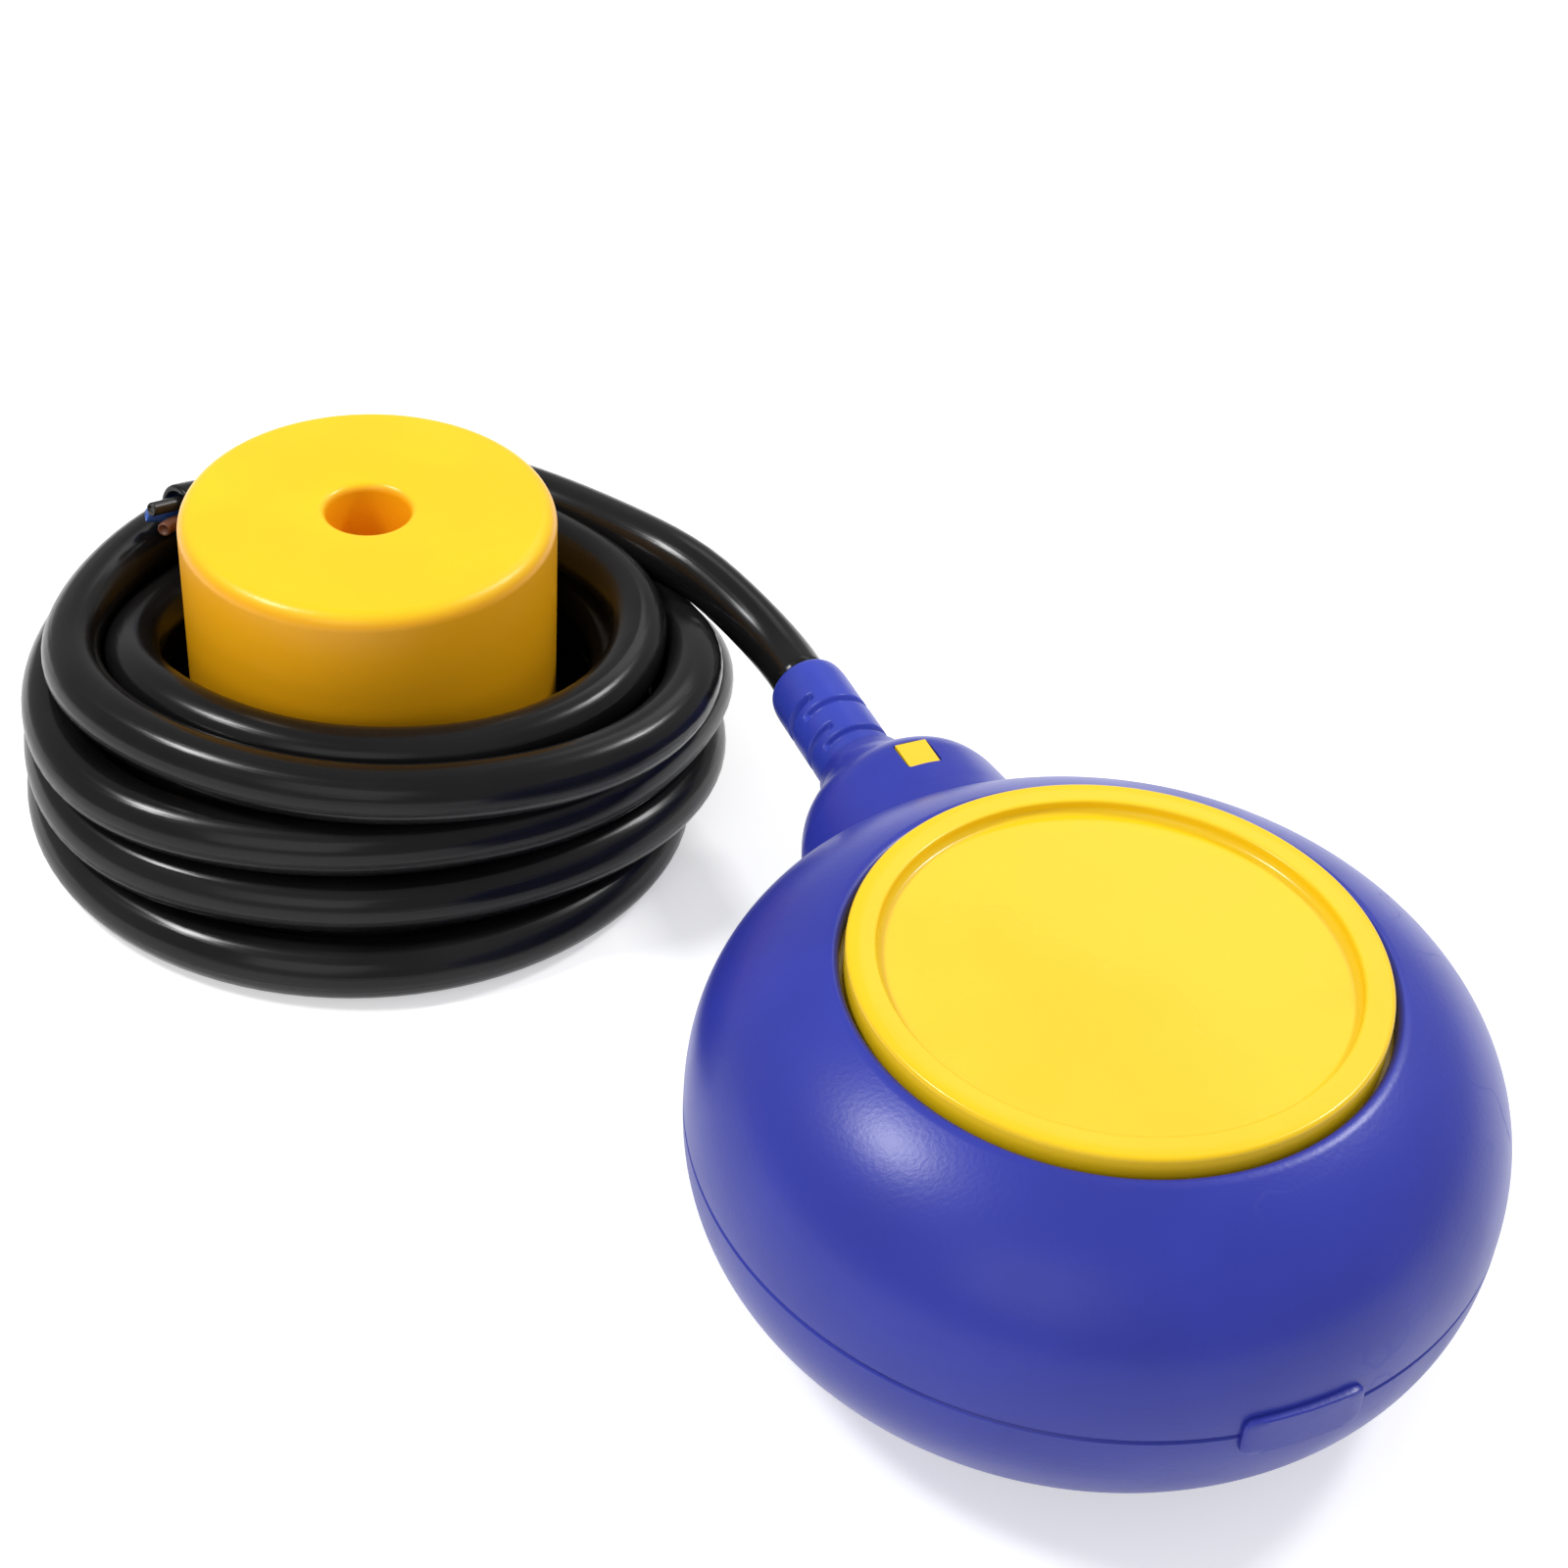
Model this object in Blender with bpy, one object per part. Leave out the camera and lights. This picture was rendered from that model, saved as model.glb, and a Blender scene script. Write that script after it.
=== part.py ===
"""Cable float switch: a blow-moulded ring float round a sealed capsule with a rolling-ball microswitch inside,
a slotted cable boot, a coiled three-core cable and a loose counterweight. Metres, +Z up, neck along +Y."""

import math

import bmesh
import bpy
from mathutils import Matrix, Vector

# Gaps between pieces
SEAT_GAP = 0.0003
RUNNING_GAP = 0.0002

# Float body: a superellipse of revolution, open at both faces for the capsule
BODY_RING = 0.0159
BODY_CROWN = 0.0303
BODY_POWER = 2.4
BODY_ARC_STEPS = 9
BODY_SIDES = 60
LIP_GAP = 0.0006
LIP_ROUND = 0.0010
SEAM_DEPTH = 0.0004

# Raised plate on the seam, opposite the neck
PLATE_WIDTH = 0.0160
PLATE_HEIGHT = 0.0060
PLATE_RAISE = 0.0009
PLATE_ROOT = 0.0020

# Neck boss of the float body
BOSS_ROOT = 0.0105
BOSS_SHOULDER = 0.0035
BOSS_LENGTH = 0.0205
BOSS_HALF_WIDTH = 0.0162
BOSS_HALF_HEIGHT = 0.0156
BOSS_NECK_RADIUS = 0.0076
BOSS_FLARE_POWERS = (4.0, 0.8)
BOSS_FLARE_STEPS = 8
BOSS_SIDES = 36

# Capsule: two moulded halves
FACE_HEIGHT = 0.02675
FACE_RADIUS = 0.0337
FACE_EDGE = 0.0005
RECESS_RADIUS = 0.0299
RECESS_DEPTH = 0.0018
RECESS_FILLET = 0.0010
CAPSULE_RADIUS = 0.0363
CAPSULE_WALL = 0.0030
CAPSULE_FLOOR = 0.0022
SHOULDER_HEIGHT = 0.0215
SPIGOT_WALL = 0.0013
SPIGOT_LENGTH = 0.0030
SEAL_HEIGHT = 0.0014
CAPSULE_SIDES = 48

# Cable
CABLE_RADIUS = 0.0043
CORE_RADIUS = 0.0011
CABLE_END_REACH = 0.0053

# Neck bush, seal, nut and boot, all turned round the neck's axis
BUSH_RADIUS = 0.0082
BUSH_BORE = 0.0062
BUSH_REACH = 0.0041
BUSH_SETBACK = 0.0120
BUSH_FLANGE_RADIUS = 0.0100
BUSH_FLANGE = 0.0020
BUSH_STOP = 0.0066
LUG_REACH = 0.0043
LUG_WIDTH = 0.0046
LUG_LENGTH = 0.0050
SEAL_SLEEVE_LENGTH = 0.0200
SEAL_RIBS = 4
SEAL_RIB_DEPTH = 0.0005
NUT_BODY = 0.0048
NUT_HEAD = 0.0027
NUT_HEAD_RADIUS = 0.0075
BOOT_RADIUS = 0.0060
BOOT_LENGTH = 0.0222
BOOT_FLANGE_RADIUS = 0.0078
BOOT_FLANGE = 0.0030
BOOT_NOSE = 0.0036
BOOT_LIP = 0.0005
SLOT_SETBACK = 0.0036
SLOT_PITCH = 0.0033
SLOT_COUNT = 4
SLOT_WIDTH = 0.0013
SLOT_DEPTH = 0.0009
SLOT_HALF_ANGLE = math.radians(108)

# Switch carrier and ball track
CARRIER_TOP = -0.0073
CARRIER_THICKNESS = 0.0022
CARRIER_CLEARANCE = 0.0013
CARRIER_HALF_WIDTH = 0.0235
CARRIER_FRONT_Y = -0.0302
CARRIER_BACK_Y = 0.0255
BALL_RADIUS = 0.0070
TRACK_X = -0.0120
BALL_START_Y = -0.0160
BALL_TRAVEL = 0.0160
TRACK_WALL = 0.0016
RAIL_WIDTH = 0.0012
RAIL_TOP = -0.0034
TRACK_COVER = 0.0014
POST_RADIUS = 0.0022

# Trip lever: a straight arm that lies along the track and is pushed aside by the ball
LEVER_RISE = 0.0014
LEVER_LEAD = 0.0110
LEVER_LENGTH = 0.0290
LEVER_THICKNESS = 0.0014
LEVER_HALF_HEIGHT = 0.0024
LEVER_HUB = 0.0022
LEVER_REST = math.radians(5.04)
LEVER_TURN = math.radians(2.98)
PIN_RADIUS = 0.0010
PIN_HEAD_RADIUS = 0.0017
PIN_HEAD = 0.0009

# Microswitch
SWITCH_LENGTH = 0.0278
SWITCH_DEPTH = 0.0159
SWITCH_HALF_HEIGHT = 0.00515
SWITCH_WALL = 0.0012
SWITCH_LID = 0.0010
SWITCH_BACK_Y = 0.0054
PLUNGER_SETBACK = 0.0084
PLUNGER_RADIUS = 0.0013
PLUNGER_PROUD = 0.0016
PLUNGER_INSIDE = 0.0046
PLUNGER_COLLAR = 0.0022
BLADE_THICKNESS = 0.0004
BLADE_HALF_HEIGHT = 0.0020
BLADE_SETBACK = 0.0034
CONTACT_SETBACK = 0.0044
CONTACT_RADIUS = 0.0013
CONTACT_HEIGHT = 0.0005
STRAP_THICKNESS = 0.0006
STRAP_HALF_HEIGHT = 0.0020
TAB_HALF_HEIGHT = 0.0024
TAB_END = 0.0055
SLEEVE_LENGTH = 0.0055
SLEEVE_HALF_WIDTH = 0.0015
SLEEVE_HALF_HEIGHT = 0.0032
SWITCH_SCREW_X = 0.0110
SWITCH_SCREW_SETBACKS = (0.0134, 0.0064)

# Screws and cable clamp
SCREW_RADIUS = 0.0010
SCREW_HEAD_RADIUS = 0.0026
SCREW_HEAD = 0.0018
SCREW_SLOT = 0.0006
SWITCH_SCREW_RADIUS = 0.0014
CARRIER_SCREWS = ((0.0190, 0.0150), (-0.0190, 0.0150), (0.0170, -0.0210))
CARRIER_SCREW_LENGTH = 0.0100
COLUMN_RADIUS = 0.0030
CLAMP_Y = 0.0213
CLAMP_WIDTH = 0.0055
CLAMP_HALF_LENGTH = 0.0110
CLAMP_HEIGHT = 0.0062
CLAMP_SCREW_X = 0.0078

# Counterweight
WEIGHT_RADIUS = 0.0279
WEIGHT_HEIGHT = 0.0500
WEIGHT_BORE = 0.0062
WEIGHT_ROUND = 0.0026
WEIGHT_LIP = 0.0014
WEIGHT_SIDES = 48

# Coil of cable: three columns of turns, the outer one a turn lower, and the free end on top of it
COIL_SLACK = 0.0002
COIL_LAYERS = 4
COIL_COLUMNS = 3
COIL_CLEARANCE = 0.0005
COIL_SIDES = 48
TAIL_DEGREES = range(72, 129, 14)
TAIL_INSET = 0.0015
TAIL_BEND = math.radians(7)

# Where the coil lies beside the cable, beyond the boot's mouth, and the weight from the coil's centre
COIL_ASIDE = 0.0036
COIL_BEYOND = 0.0318
WEIGHT_OFFSET = Vector((0.0, 0.0001))

# Sizes that more than one piece takes from the values above
CAVITY_RADIUS = CAPSULE_RADIUS + SEAT_GAP
BODY_RADIUS = CAVITY_RADIUS + BODY_RING
BOSS_ROOT_Y = BODY_RADIUS - BOSS_ROOT
BOSS_SHOULDER_Y = BODY_RADIUS + BOSS_SHOULDER
BOSS_END_Y = BODY_RADIUS + BOSS_LENGTH
CAPSULE_INSIDE = CAPSULE_RADIUS - CAPSULE_WALL
BUSH_START_Y = CAPSULE_INSIDE - BUSH_REACH
BUSH_END_Y = BOSS_END_Y - BUSH_SETBACK
LUG_Y = BODY_RADIUS + LUG_REACH
BOOT_END_Y = BOSS_END_Y + BOOT_LENGTH
SLOT_FIRST_Y = BOSS_END_Y + SLOT_SETBACK
CABLE_END_Y = CLAMP_Y - CABLE_END_REACH
CARRIER_RADIUS = CAPSULE_INSIDE - CARRIER_CLEARANCE
COIL_LAYER = 2 * CABLE_RADIUS + COIL_SLACK
COIL_INNER_RADIUS = WEIGHT_RADIUS + COIL_CLEARANCE
COIL_OUTER_RADIUS = COIL_INNER_RADIUS + (2 * COIL_COLUMNS - 1) * CABLE_RADIUS
COIL_EDGE_RADIUS = COIL_OUTER_RADIUS + CABLE_RADIUS
COIL_OFFSET = Vector((-COIL_EDGE_RADIUS - COIL_ASIDE, BOOT_END_Y + COIL_BEYOND))

BODY_CENTRE = -Vector((
    (COIL_OFFSET.x + WEIGHT_OFFSET.x - WEIGHT_RADIUS + BODY_RADIUS) / 2,
    (COIL_OFFSET.y + WEIGHT_OFFSET.y + WEIGHT_RADIUS - BODY_RADIUS - PLATE_RAISE) / 2,
))
COIL_CENTRE = BODY_CENTRE + COIL_OFFSET
WEIGHT_CENTRE = COIL_CENTRE + WEIGHT_OFFSET

LIP_RADIUS = FACE_RADIUS + LIP_GAP
CAPSULE_CEILING = FACE_HEIGHT - RECESS_DEPTH - CAPSULE_FLOOR
SPIGOT_RADIUS = CAPSULE_INSIDE + SPIGOT_WALL
RABBET_DEPTH = SPIGOT_LENGTH + SEAL_HEIGHT + 2 * SEAT_GAP
CABLE_HOLE = CABLE_RADIUS + SEAT_GAP
BOOT_START_Y = BUSH_END_Y + SEAT_GAP
BOOT_FLANGE_Y = BOOT_START_Y + BOOT_FLANGE
CARRIER_BOTTOM = CARRIER_TOP - CARRIER_THICKNESS
WALL_TOP = BALL_RADIUS + SEAT_GAP
TRACK_HALF = BALL_RADIUS + SEAT_GAP
TRACK_LEFT = TRACK_X - TRACK_HALF - TRACK_WALL
TRACK_FRONT_Y = BALL_START_Y - TRACK_HALF - TRACK_WALL
TRACK_BACK_Y = BALL_START_Y + BALL_TRAVEL + TRACK_HALF + TRACK_WALL
RAIL_X = TRACK_X + math.sqrt(BALL_RADIUS**2 - RAIL_TOP**2) + SEAT_GAP
COVER_SCREWS = ((TRACK_X, TRACK_FRONT_Y - POST_RADIUS + SEAT_GAP), (TRACK_X, TRACK_BACK_Y + POST_RADIUS - SEAT_GAP))
PIVOT_X = TRACK_X + BALL_RADIUS + LEVER_RISE
PIVOT_Y = BALL_START_Y - LEVER_LEAD
SWITCH_FRONT_Y = SWITCH_BACK_Y - SWITCH_LENGTH
PLUNGER_Y = SWITCH_FRONT_Y + PLUNGER_SETBACK
CONTACT_Y = SWITCH_FRONT_Y + CONTACT_SETBACK
BLADE_HINGE_Y = SWITCH_BACK_Y - BLADE_SETBACK
SWITCH_SCREW_Y = (SWITCH_FRONT_Y + SWITCH_SCREW_SETBACKS[0], SWITCH_BACK_Y - SWITCH_SCREW_SETBACKS[1])
PLUNGER_ARM = PLUNGER_Y - PIVOT_Y
PLUNGER_STROKE = PLUNGER_ARM * math.tan(LEVER_TURN)
PLUNGER_TIP_X = PIVOT_X - PLUNGER_ARM * math.tan(LEVER_REST) + LEVER_THICKNESS / math.cos(LEVER_REST) + SEAT_GAP
SWITCH_X = PLUNGER_TIP_X + PLUNGER_PROUD
SWITCH_BACK_X = SWITCH_X + SWITCH_DEPTH
SWITCH_CASE_TOP = SWITCH_HALF_HEIGHT - SWITCH_LID - SEAT_GAP
BLADE_X = SWITCH_X + PLUNGER_INSIDE + SEAT_GAP
BLADE_TURN = PLUNGER_STROKE / (BLADE_HINGE_Y - PLUNGER_Y)
CONTACT_TRAVEL = BLADE_TURN * (BLADE_HINGE_Y - CONTACT_Y)
NC_Y = CONTACT_Y - CONTACT_RADIUS - 0.0013
NO_Y = CONTACT_Y + CONTACT_RADIUS + 0.0034
COMMON_Y = BLADE_HINGE_Y + SEAT_GAP + STRAP_THICKNESS / 2
COIL_SHOULDER_RADIUS = COIL_EDGE_RADIUS - 2 * CABLE_RADIUS - 2 * SEAT_GAP
COIL_SHOULDER = 2 * CABLE_RADIUS + (COIL_LAYERS - 2) * COIL_LAYER
COIL_TOP = COIL_SHOULDER + COIL_LAYER


def material(name, colour, roughness, metallic=0.0):
    made = bpy.data.materials.get(name)
    if made:
        return made
    made = bpy.data.materials.new(name)
    made.use_nodes = True
    shader = made.node_tree.nodes["Principled BSDF"]
    shader.inputs["Base Color"].default_value = (*colour, 1.0)
    shader.inputs["Roughness"].default_value = roughness
    shader.inputs["Metallic"].default_value = metallic
    return made


BLUE = material("blue_float", (0.045, 0.060, 0.420), 0.45)
YELLOW = material("yellow_capsule", (1.000, 0.640, 0.010), 0.35)
AMBER = material("yellow_weight", (1.000, 0.560, 0.012), 0.45)
BLACK = material("black_cable", (0.012, 0.012, 0.014), 0.30)
RUBBER = material("black_rubber", (0.020, 0.020, 0.020), 0.70)
WHITE = material("white_carrier", (0.800, 0.800, 0.780), 0.50)
CASE = material("switch_case", (0.030, 0.030, 0.035), 0.50)
RED = material("switch_plunger", (0.600, 0.040, 0.030), 0.40)
STEEL = material("steel", (0.600, 0.600, 0.620), 0.25, 1.0)
BRASS = material("brass", (0.780, 0.560, 0.250), 0.30, 1.0)
COPPER = material("copper", (0.900, 0.450, 0.300), 0.35, 1.0)
BROWN = material("core_brown", (0.180, 0.070, 0.030), 0.45)
CORE_BLUE = material("core_blue", (0.030, 0.150, 0.600), 0.45)
CORE_BLACK = material("core_black", (0.015, 0.015, 0.015), 0.45)


def clear_scene():
    for thing in list(bpy.data.objects):
        bpy.data.objects.remove(thing, do_unlink=True)


def empty(name, place, parent=None):
    frame = bpy.data.objects.new(name, None)
    bpy.context.collection.objects.link(frame)
    frame.parent = parent
    frame.location = place
    return frame


def add(name, mesh, look, parent, place=(0, 0, 0)):
    """An object of this mesh, with its faces turned outwards and its round sides smooth."""
    shape = bmesh.new()
    shape.from_mesh(mesh)
    bmesh.ops.recalc_face_normals(shape, faces=shape.faces)
    shape.to_mesh(mesh)
    shape.free()
    mesh.materials.append(look)
    mesh.shade_smooth()
    mesh.set_sharp_from_angle(angle=math.radians(35))
    piece = bpy.data.objects.new(name, mesh)
    bpy.context.collection.objects.link(piece)
    piece.parent = parent
    piece.location = place
    return piece


def guide(piece):
    """Marks a piece that only cuts or joins another."""
    piece.hide_render = True
    piece.display_type = "WIRE"
    return piece


def boolean(target, operation, tool):
    change = target.modifiers.new(tool.name, "BOOLEAN")
    change.operation = operation
    change.solver = "EXACT"
    change.object = guide(tool)


def cut(target, *tools):
    for tool in tools:
        boolean(target, "DIFFERENCE", tool)


def join(target, *tools):
    for tool in tools:
        boolean(target, "UNION", tool)


def turned_mesh(name, profile, sides, axis="Z"):
    """A closed outline of (radius, height) points turned once round Z or Y. Points on the axis become poles."""
    verts, rings = [], []
    for radius, height in profile:
        if radius == 0:
            rings.append([len(verts)] * sides)
            verts.append((0, 0, height))
            continue
        rings.append(list(range(len(verts), len(verts) + sides)))
        for k in range(sides):
            turn = 2 * math.pi * k / sides
            verts.append((radius * math.cos(turn), radius * math.sin(turn), height))
    faces = []
    for i, ring in enumerate(rings):
        above = rings[(i + 1) % len(rings)]
        if profile[i][0] == 0 and profile[(i + 1) % len(rings)][0] == 0:
            continue
        for k in range(sides):
            j = (k + 1) % sides
            corners = [ring[k], ring[j], above[j], above[k]]
            faces.append(tuple(dict.fromkeys(corners)))
    mesh = bpy.data.meshes.new(name)
    if axis == "Y":
        verts = [(x, z, -y) for x, y, z in verts]
    if axis == "X":
        verts = [(z, y, -x) for x, y, z in verts]
    mesh.from_pydata(verts, [], faces)
    return mesh


def turned(name, profile, look, parent, place=(0, 0, 0), sides=24, axis="Z"):
    return add(name, turned_mesh(name, profile, sides, axis), look, parent, place)


def rod(name, radius, start, end, look, parent, place=(0, 0, 0), sides=16, axis="Z"):
    return turned(name, [(0, start), (radius, start), (radius, end), (0, end)], look, parent, place, sides, axis)


def prism(name, outline, low, high, look, parent, place=(0, 0, 0)):
    """An outline in X and Y, drawn up from low to high."""
    count = len(outline)
    verts = [(x, y, low) for x, y in outline] + [(x, y, high) for x, y in outline]
    faces = [tuple(range(count)), tuple(range(count, 2 * count))]
    faces += [(k, (k + 1) % count, (k + 1) % count + count, k + count) for k in range(count)]
    mesh = bpy.data.meshes.new(name)
    mesh.from_pydata(verts, [], faces)
    return add(name, mesh, look, parent, place)


def block(name, low, high, look, parent, place=(0, 0, 0)):
    """A box between two corners."""
    outline = [(low[0], low[1]), (high[0], low[1]), (high[0], high[1]), (low[0], high[1])]
    return prism(name, outline, low[2], high[2], look, parent, place)


def smooth_route(points, spacing):
    """Points at an even spacing along a Catmull-Rom curve through the given ones."""
    ends = [2 * points[0] - points[1]] + points + [2 * points[-1] - points[-2]]
    fine = []
    for k in range(1, len(ends) - 2):
        a, b, c, d = ends[k - 1 : k + 3]
        for i in range(24):
            t = i / 24
            fine.append(0.5 * (2 * b + (c - a) * t + (2 * a - 5 * b + 4 * c - d) * t**2 + (3 * b - a - 3 * c + d) * t**3))
    fine.append(points[-1])
    runs = [0.0]
    for a, b in zip(fine, fine[1:]):
        runs.append(runs[-1] + (b - a).length)
    count = max(2, round(runs[-1] / spacing))
    even, k = [], 0
    for i in range(count + 1):
        aim = runs[-1] * i / count
        while k < len(runs) - 2 and runs[k + 1] < aim:
            k += 1
        share = (aim - runs[k]) / (runs[k + 1] - runs[k])
        even.append(fine[k].lerp(fine[k + 1], share))
    return even


def cord(name, points, radius, look, parent, spacing, resolution=2):
    """A round tube with closed ends along a smooth curve through the points."""
    curve = bpy.data.curves.new(name, "CURVE")
    curve.dimensions = "3D"
    curve.bevel_depth = radius
    curve.bevel_resolution = resolution
    curve.use_fill_caps = True
    curve.render_resolution_u = 0
    route = smooth_route([Vector(p) for p in points], spacing)
    spline = curve.splines.new("POLY")
    spline.points.add(len(route) - 1)
    for point, place in zip(spline.points, route):
        point.co = (*place, 1.0)
    curve.materials.append(look)
    piece = bpy.data.objects.new(name, curve)
    bpy.context.collection.objects.link(piece)
    piece.parent = parent
    return piece


def body_outline():
    """Half of the body's section, from the seam at the equator up to the lip, as (radius, height)."""
    lip_start = LIP_RADIUS + LIP_ROUND
    last = math.acos((lip_start / BODY_RADIUS) ** (BODY_POWER / 2))
    points = [(BODY_RADIUS - SEAM_DEPTH, 0.0), (BODY_RADIUS, SEAM_DEPTH)]
    for k in range(1, BODY_ARC_STEPS + 1):
        turn = last * k / BODY_ARC_STEPS
        radius = BODY_RADIUS * math.cos(turn) ** (2 / BODY_POWER)
        height = BODY_CROWN * math.sin(turn) ** (2 / BODY_POWER)
        points.append((radius, height))
    top = points[-1][1]
    points.append((LIP_RADIUS + 0.3 * LIP_ROUND, top - 0.1 * LIP_ROUND))
    points.append((LIP_RADIUS, top - LIP_ROUND))
    points.append((LIP_RADIUS, SHOULDER_HEIGHT + SEAT_GAP))
    points.append((CAVITY_RADIUS, SHOULDER_HEIGHT + SEAT_GAP))
    return points


def boss_flare(y):
    """How much of the boss's width is left at y: 1 on its wide part, easing like a bell to 0 at its end."""
    share = max(0.0, (y - BOSS_SHOULDER_Y) / (BOSS_END_Y - BOSS_SHOULDER_Y))
    first, second = BOSS_FLARE_POWERS
    return (1 - share**first) ** second


def boss_half_height(y):
    return BOSS_NECK_RADIUS + (BOSS_HALF_HEIGHT - BOSS_NECK_RADIUS) * boss_flare(y)


def boss_mesh():
    """Elliptical sections lofted along the neck's axis."""
    stations = [BOSS_ROOT_Y]
    for k in range(BOSS_FLARE_STEPS + 1):
        share = math.sin(math.pi / 2 * k / BOSS_FLARE_STEPS)
        stations.append(BOSS_SHOULDER_Y + (BOSS_END_Y - BOSS_SHOULDER_Y) * share)
    verts, faces = [], []
    for y in stations:
        wide = BOSS_NECK_RADIUS + (BOSS_HALF_WIDTH - BOSS_NECK_RADIUS) * boss_flare(y)
        for k in range(BOSS_SIDES):
            turn = 2 * math.pi * k / BOSS_SIDES
            verts.append((wide * math.cos(turn), y, boss_half_height(y) * math.sin(turn)))
    for i in range(len(stations) - 1):
        for k in range(BOSS_SIDES):
            j = (k + 1) % BOSS_SIDES
            low, high = i * BOSS_SIDES, (i + 1) * BOSS_SIDES
            faces.append((low + k, low + j, high + j, high + k))
    faces.append(tuple(range(BOSS_SIDES)))
    faces.append(tuple(range(len(verts) - BOSS_SIDES, len(verts))))
    mesh = bpy.data.meshes.new("boss")
    mesh.from_pydata(verts, [], faces)
    return mesh


def seam_plate(parent):
    """A plate bent round the equator, opposite the neck."""
    half = PLATE_WIDTH / 2 / BODY_RADIUS
    turns = [-math.pi / 2 + half * k / 4 for k in range(-4, 5)]
    outer = BODY_RADIUS + PLATE_RAISE
    inner = BODY_RADIUS - PLATE_ROOT
    outline = [(outer * math.cos(t), outer * math.sin(t)) for t in turns]
    outline += [(inner * math.cos(t), inner * math.sin(t)) for t in reversed(turns)]
    return prism("seam_plate", outline, -PLATE_HEIGHT / 2, PLATE_HEIGHT / 2, BLUE, parent)


def neck_hole(parent):
    """The stepped hole through the neck: bush, then the boot's flange, then the boot."""
    bush, flange, boot = (radius + SEAT_GAP for radius in (BUSH_RADIUS, BOOT_FLANGE_RADIUS, BOOT_RADIUS))
    profile = [
        (0, BUSH_START_Y),
        (bush, BUSH_START_Y),
        (bush, BOOT_START_Y),
        (flange, BOOT_START_Y),
        (flange, BOOT_FLANGE_Y + SEAT_GAP),
        (boot, BOOT_FLANGE_Y + SEAT_GAP),
        (boot, BOSS_END_Y + SEAT_GAP),
        (0, BOSS_END_Y + SEAT_GAP),
    ]
    return turned("neck_hole", profile, BLUE, parent, sides=32, axis="Y")


def float_body(parent):
    half = body_outline()
    outline = half + [(radius, -height) for radius, height in reversed(half[1:])]
    body = turned("float_body", outline, BLUE, parent, sides=BODY_SIDES)
    join(body, add("boss", boss_mesh(), BLUE, parent), seam_plate(parent))
    window_x = LUG_WIDTH / 2 + SEAT_GAP
    window_y = LUG_LENGTH / 2 + SEAT_GAP
    window = block(
        "window", (-window_x, LUG_Y - window_y, 0), (window_x, LUG_Y + window_y, BODY_CROWN), BLUE, parent
    )
    cut(body, neck_hole(parent), window)
    return body


def face_outline():
    """The outside of a capsule half, from the middle of its recessed face out and down to the shoulder."""
    floor = FACE_HEIGHT - RECESS_DEPTH
    points = [(0, floor)]
    for k in range(4):
        turn = math.pi / 2 * k / 3
        reach = RECESS_RADIUS - RECESS_FILLET * (1 - math.sin(turn))
        points.append((reach, floor + RECESS_FILLET * (1 - math.cos(turn))))
    points += [
        (RECESS_RADIUS, FACE_HEIGHT - FACE_EDGE / 2),
        (RECESS_RADIUS + FACE_EDGE / 2, FACE_HEIGHT),
        (FACE_RADIUS - FACE_EDGE, FACE_HEIGHT),
        (FACE_RADIUS, FACE_HEIGHT - FACE_EDGE),
        (FACE_RADIUS, SHOULDER_HEIGHT),
        (CAPSULE_RADIUS, SHOULDER_HEIGHT),
    ]
    return points


def capsule_notch(name, parent):
    """Half of the round opening where the neck bush passes the capsule's wall."""
    return rod(name, BUSH_RADIUS + SEAT_GAP, BUSH_START_Y, BUSH_END_Y, YELLOW, parent, sides=32, axis="Y")


def upper_capsule(parent):
    outline = face_outline() + [
        (CAPSULE_RADIUS, SEAT_GAP / 2),
        (SPIGOT_RADIUS, SEAT_GAP / 2),
        (SPIGOT_RADIUS, -SPIGOT_LENGTH),
        (CAPSULE_INSIDE, -SPIGOT_LENGTH),
        (CAPSULE_INSIDE, CAPSULE_CEILING),
        (0, CAPSULE_CEILING),
    ]
    half = turned("upper_capsule", outline, YELLOW, parent, sides=CAPSULE_SIDES)
    cut(half, capsule_notch("upper_notch", parent))


def lower_capsule(parent):
    rabbet = SPIGOT_RADIUS + SEAT_GAP
    outline = [(radius, -height) for radius, height in face_outline()] + [
        (CAPSULE_RADIUS, -SEAT_GAP / 2),
        (rabbet, -SEAT_GAP / 2),
        (rabbet, -RABBET_DEPTH),
        (CAPSULE_INSIDE, -RABBET_DEPTH),
        (CAPSULE_INSIDE, -CAPSULE_CEILING),
        (0, -CAPSULE_CEILING),
    ]
    half = turned("lower_capsule", outline, YELLOW, parent, sides=CAPSULE_SIDES)
    cut(half, capsule_notch("lower_notch", parent))
    column_top = CARRIER_BOTTOM - SEAT_GAP
    for k, (x, y) in enumerate(CARRIER_SCREWS):
        foot = -CAPSULE_CEILING - CAPSULE_FLOOR / 2
        join(half, rod(f"column_{k}", COLUMN_RADIUS, foot, column_top, YELLOW, parent, (x, y, 0)))
        depth = CARRIER_TOP - CARRIER_SCREW_LENGTH - SEAT_GAP
        cut(half, rod(f"pilot_{k}", SCREW_RADIUS + SEAT_GAP, depth, CARRIER_TOP, YELLOW, parent, (x, y, 0)))


def capsule_seal(parent):
    """The flat rubber ring under the spigot, with a gap in it where the neck bush passes."""
    top = -SPIGOT_LENGTH - SEAT_GAP
    outline = [
        (CAPSULE_INSIDE + SEAT_GAP / 2, top),
        (SPIGOT_RADIUS, top),
        (SPIGOT_RADIUS, top - SEAL_HEIGHT),
        (CAPSULE_INSIDE + SEAT_GAP / 2, top - SEAL_HEIGHT),
    ]
    seal = turned("capsule_seal", outline, RUBBER, parent, sides=CAPSULE_SIDES)
    cut(seal, capsule_notch("seal_notch", parent))


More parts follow.
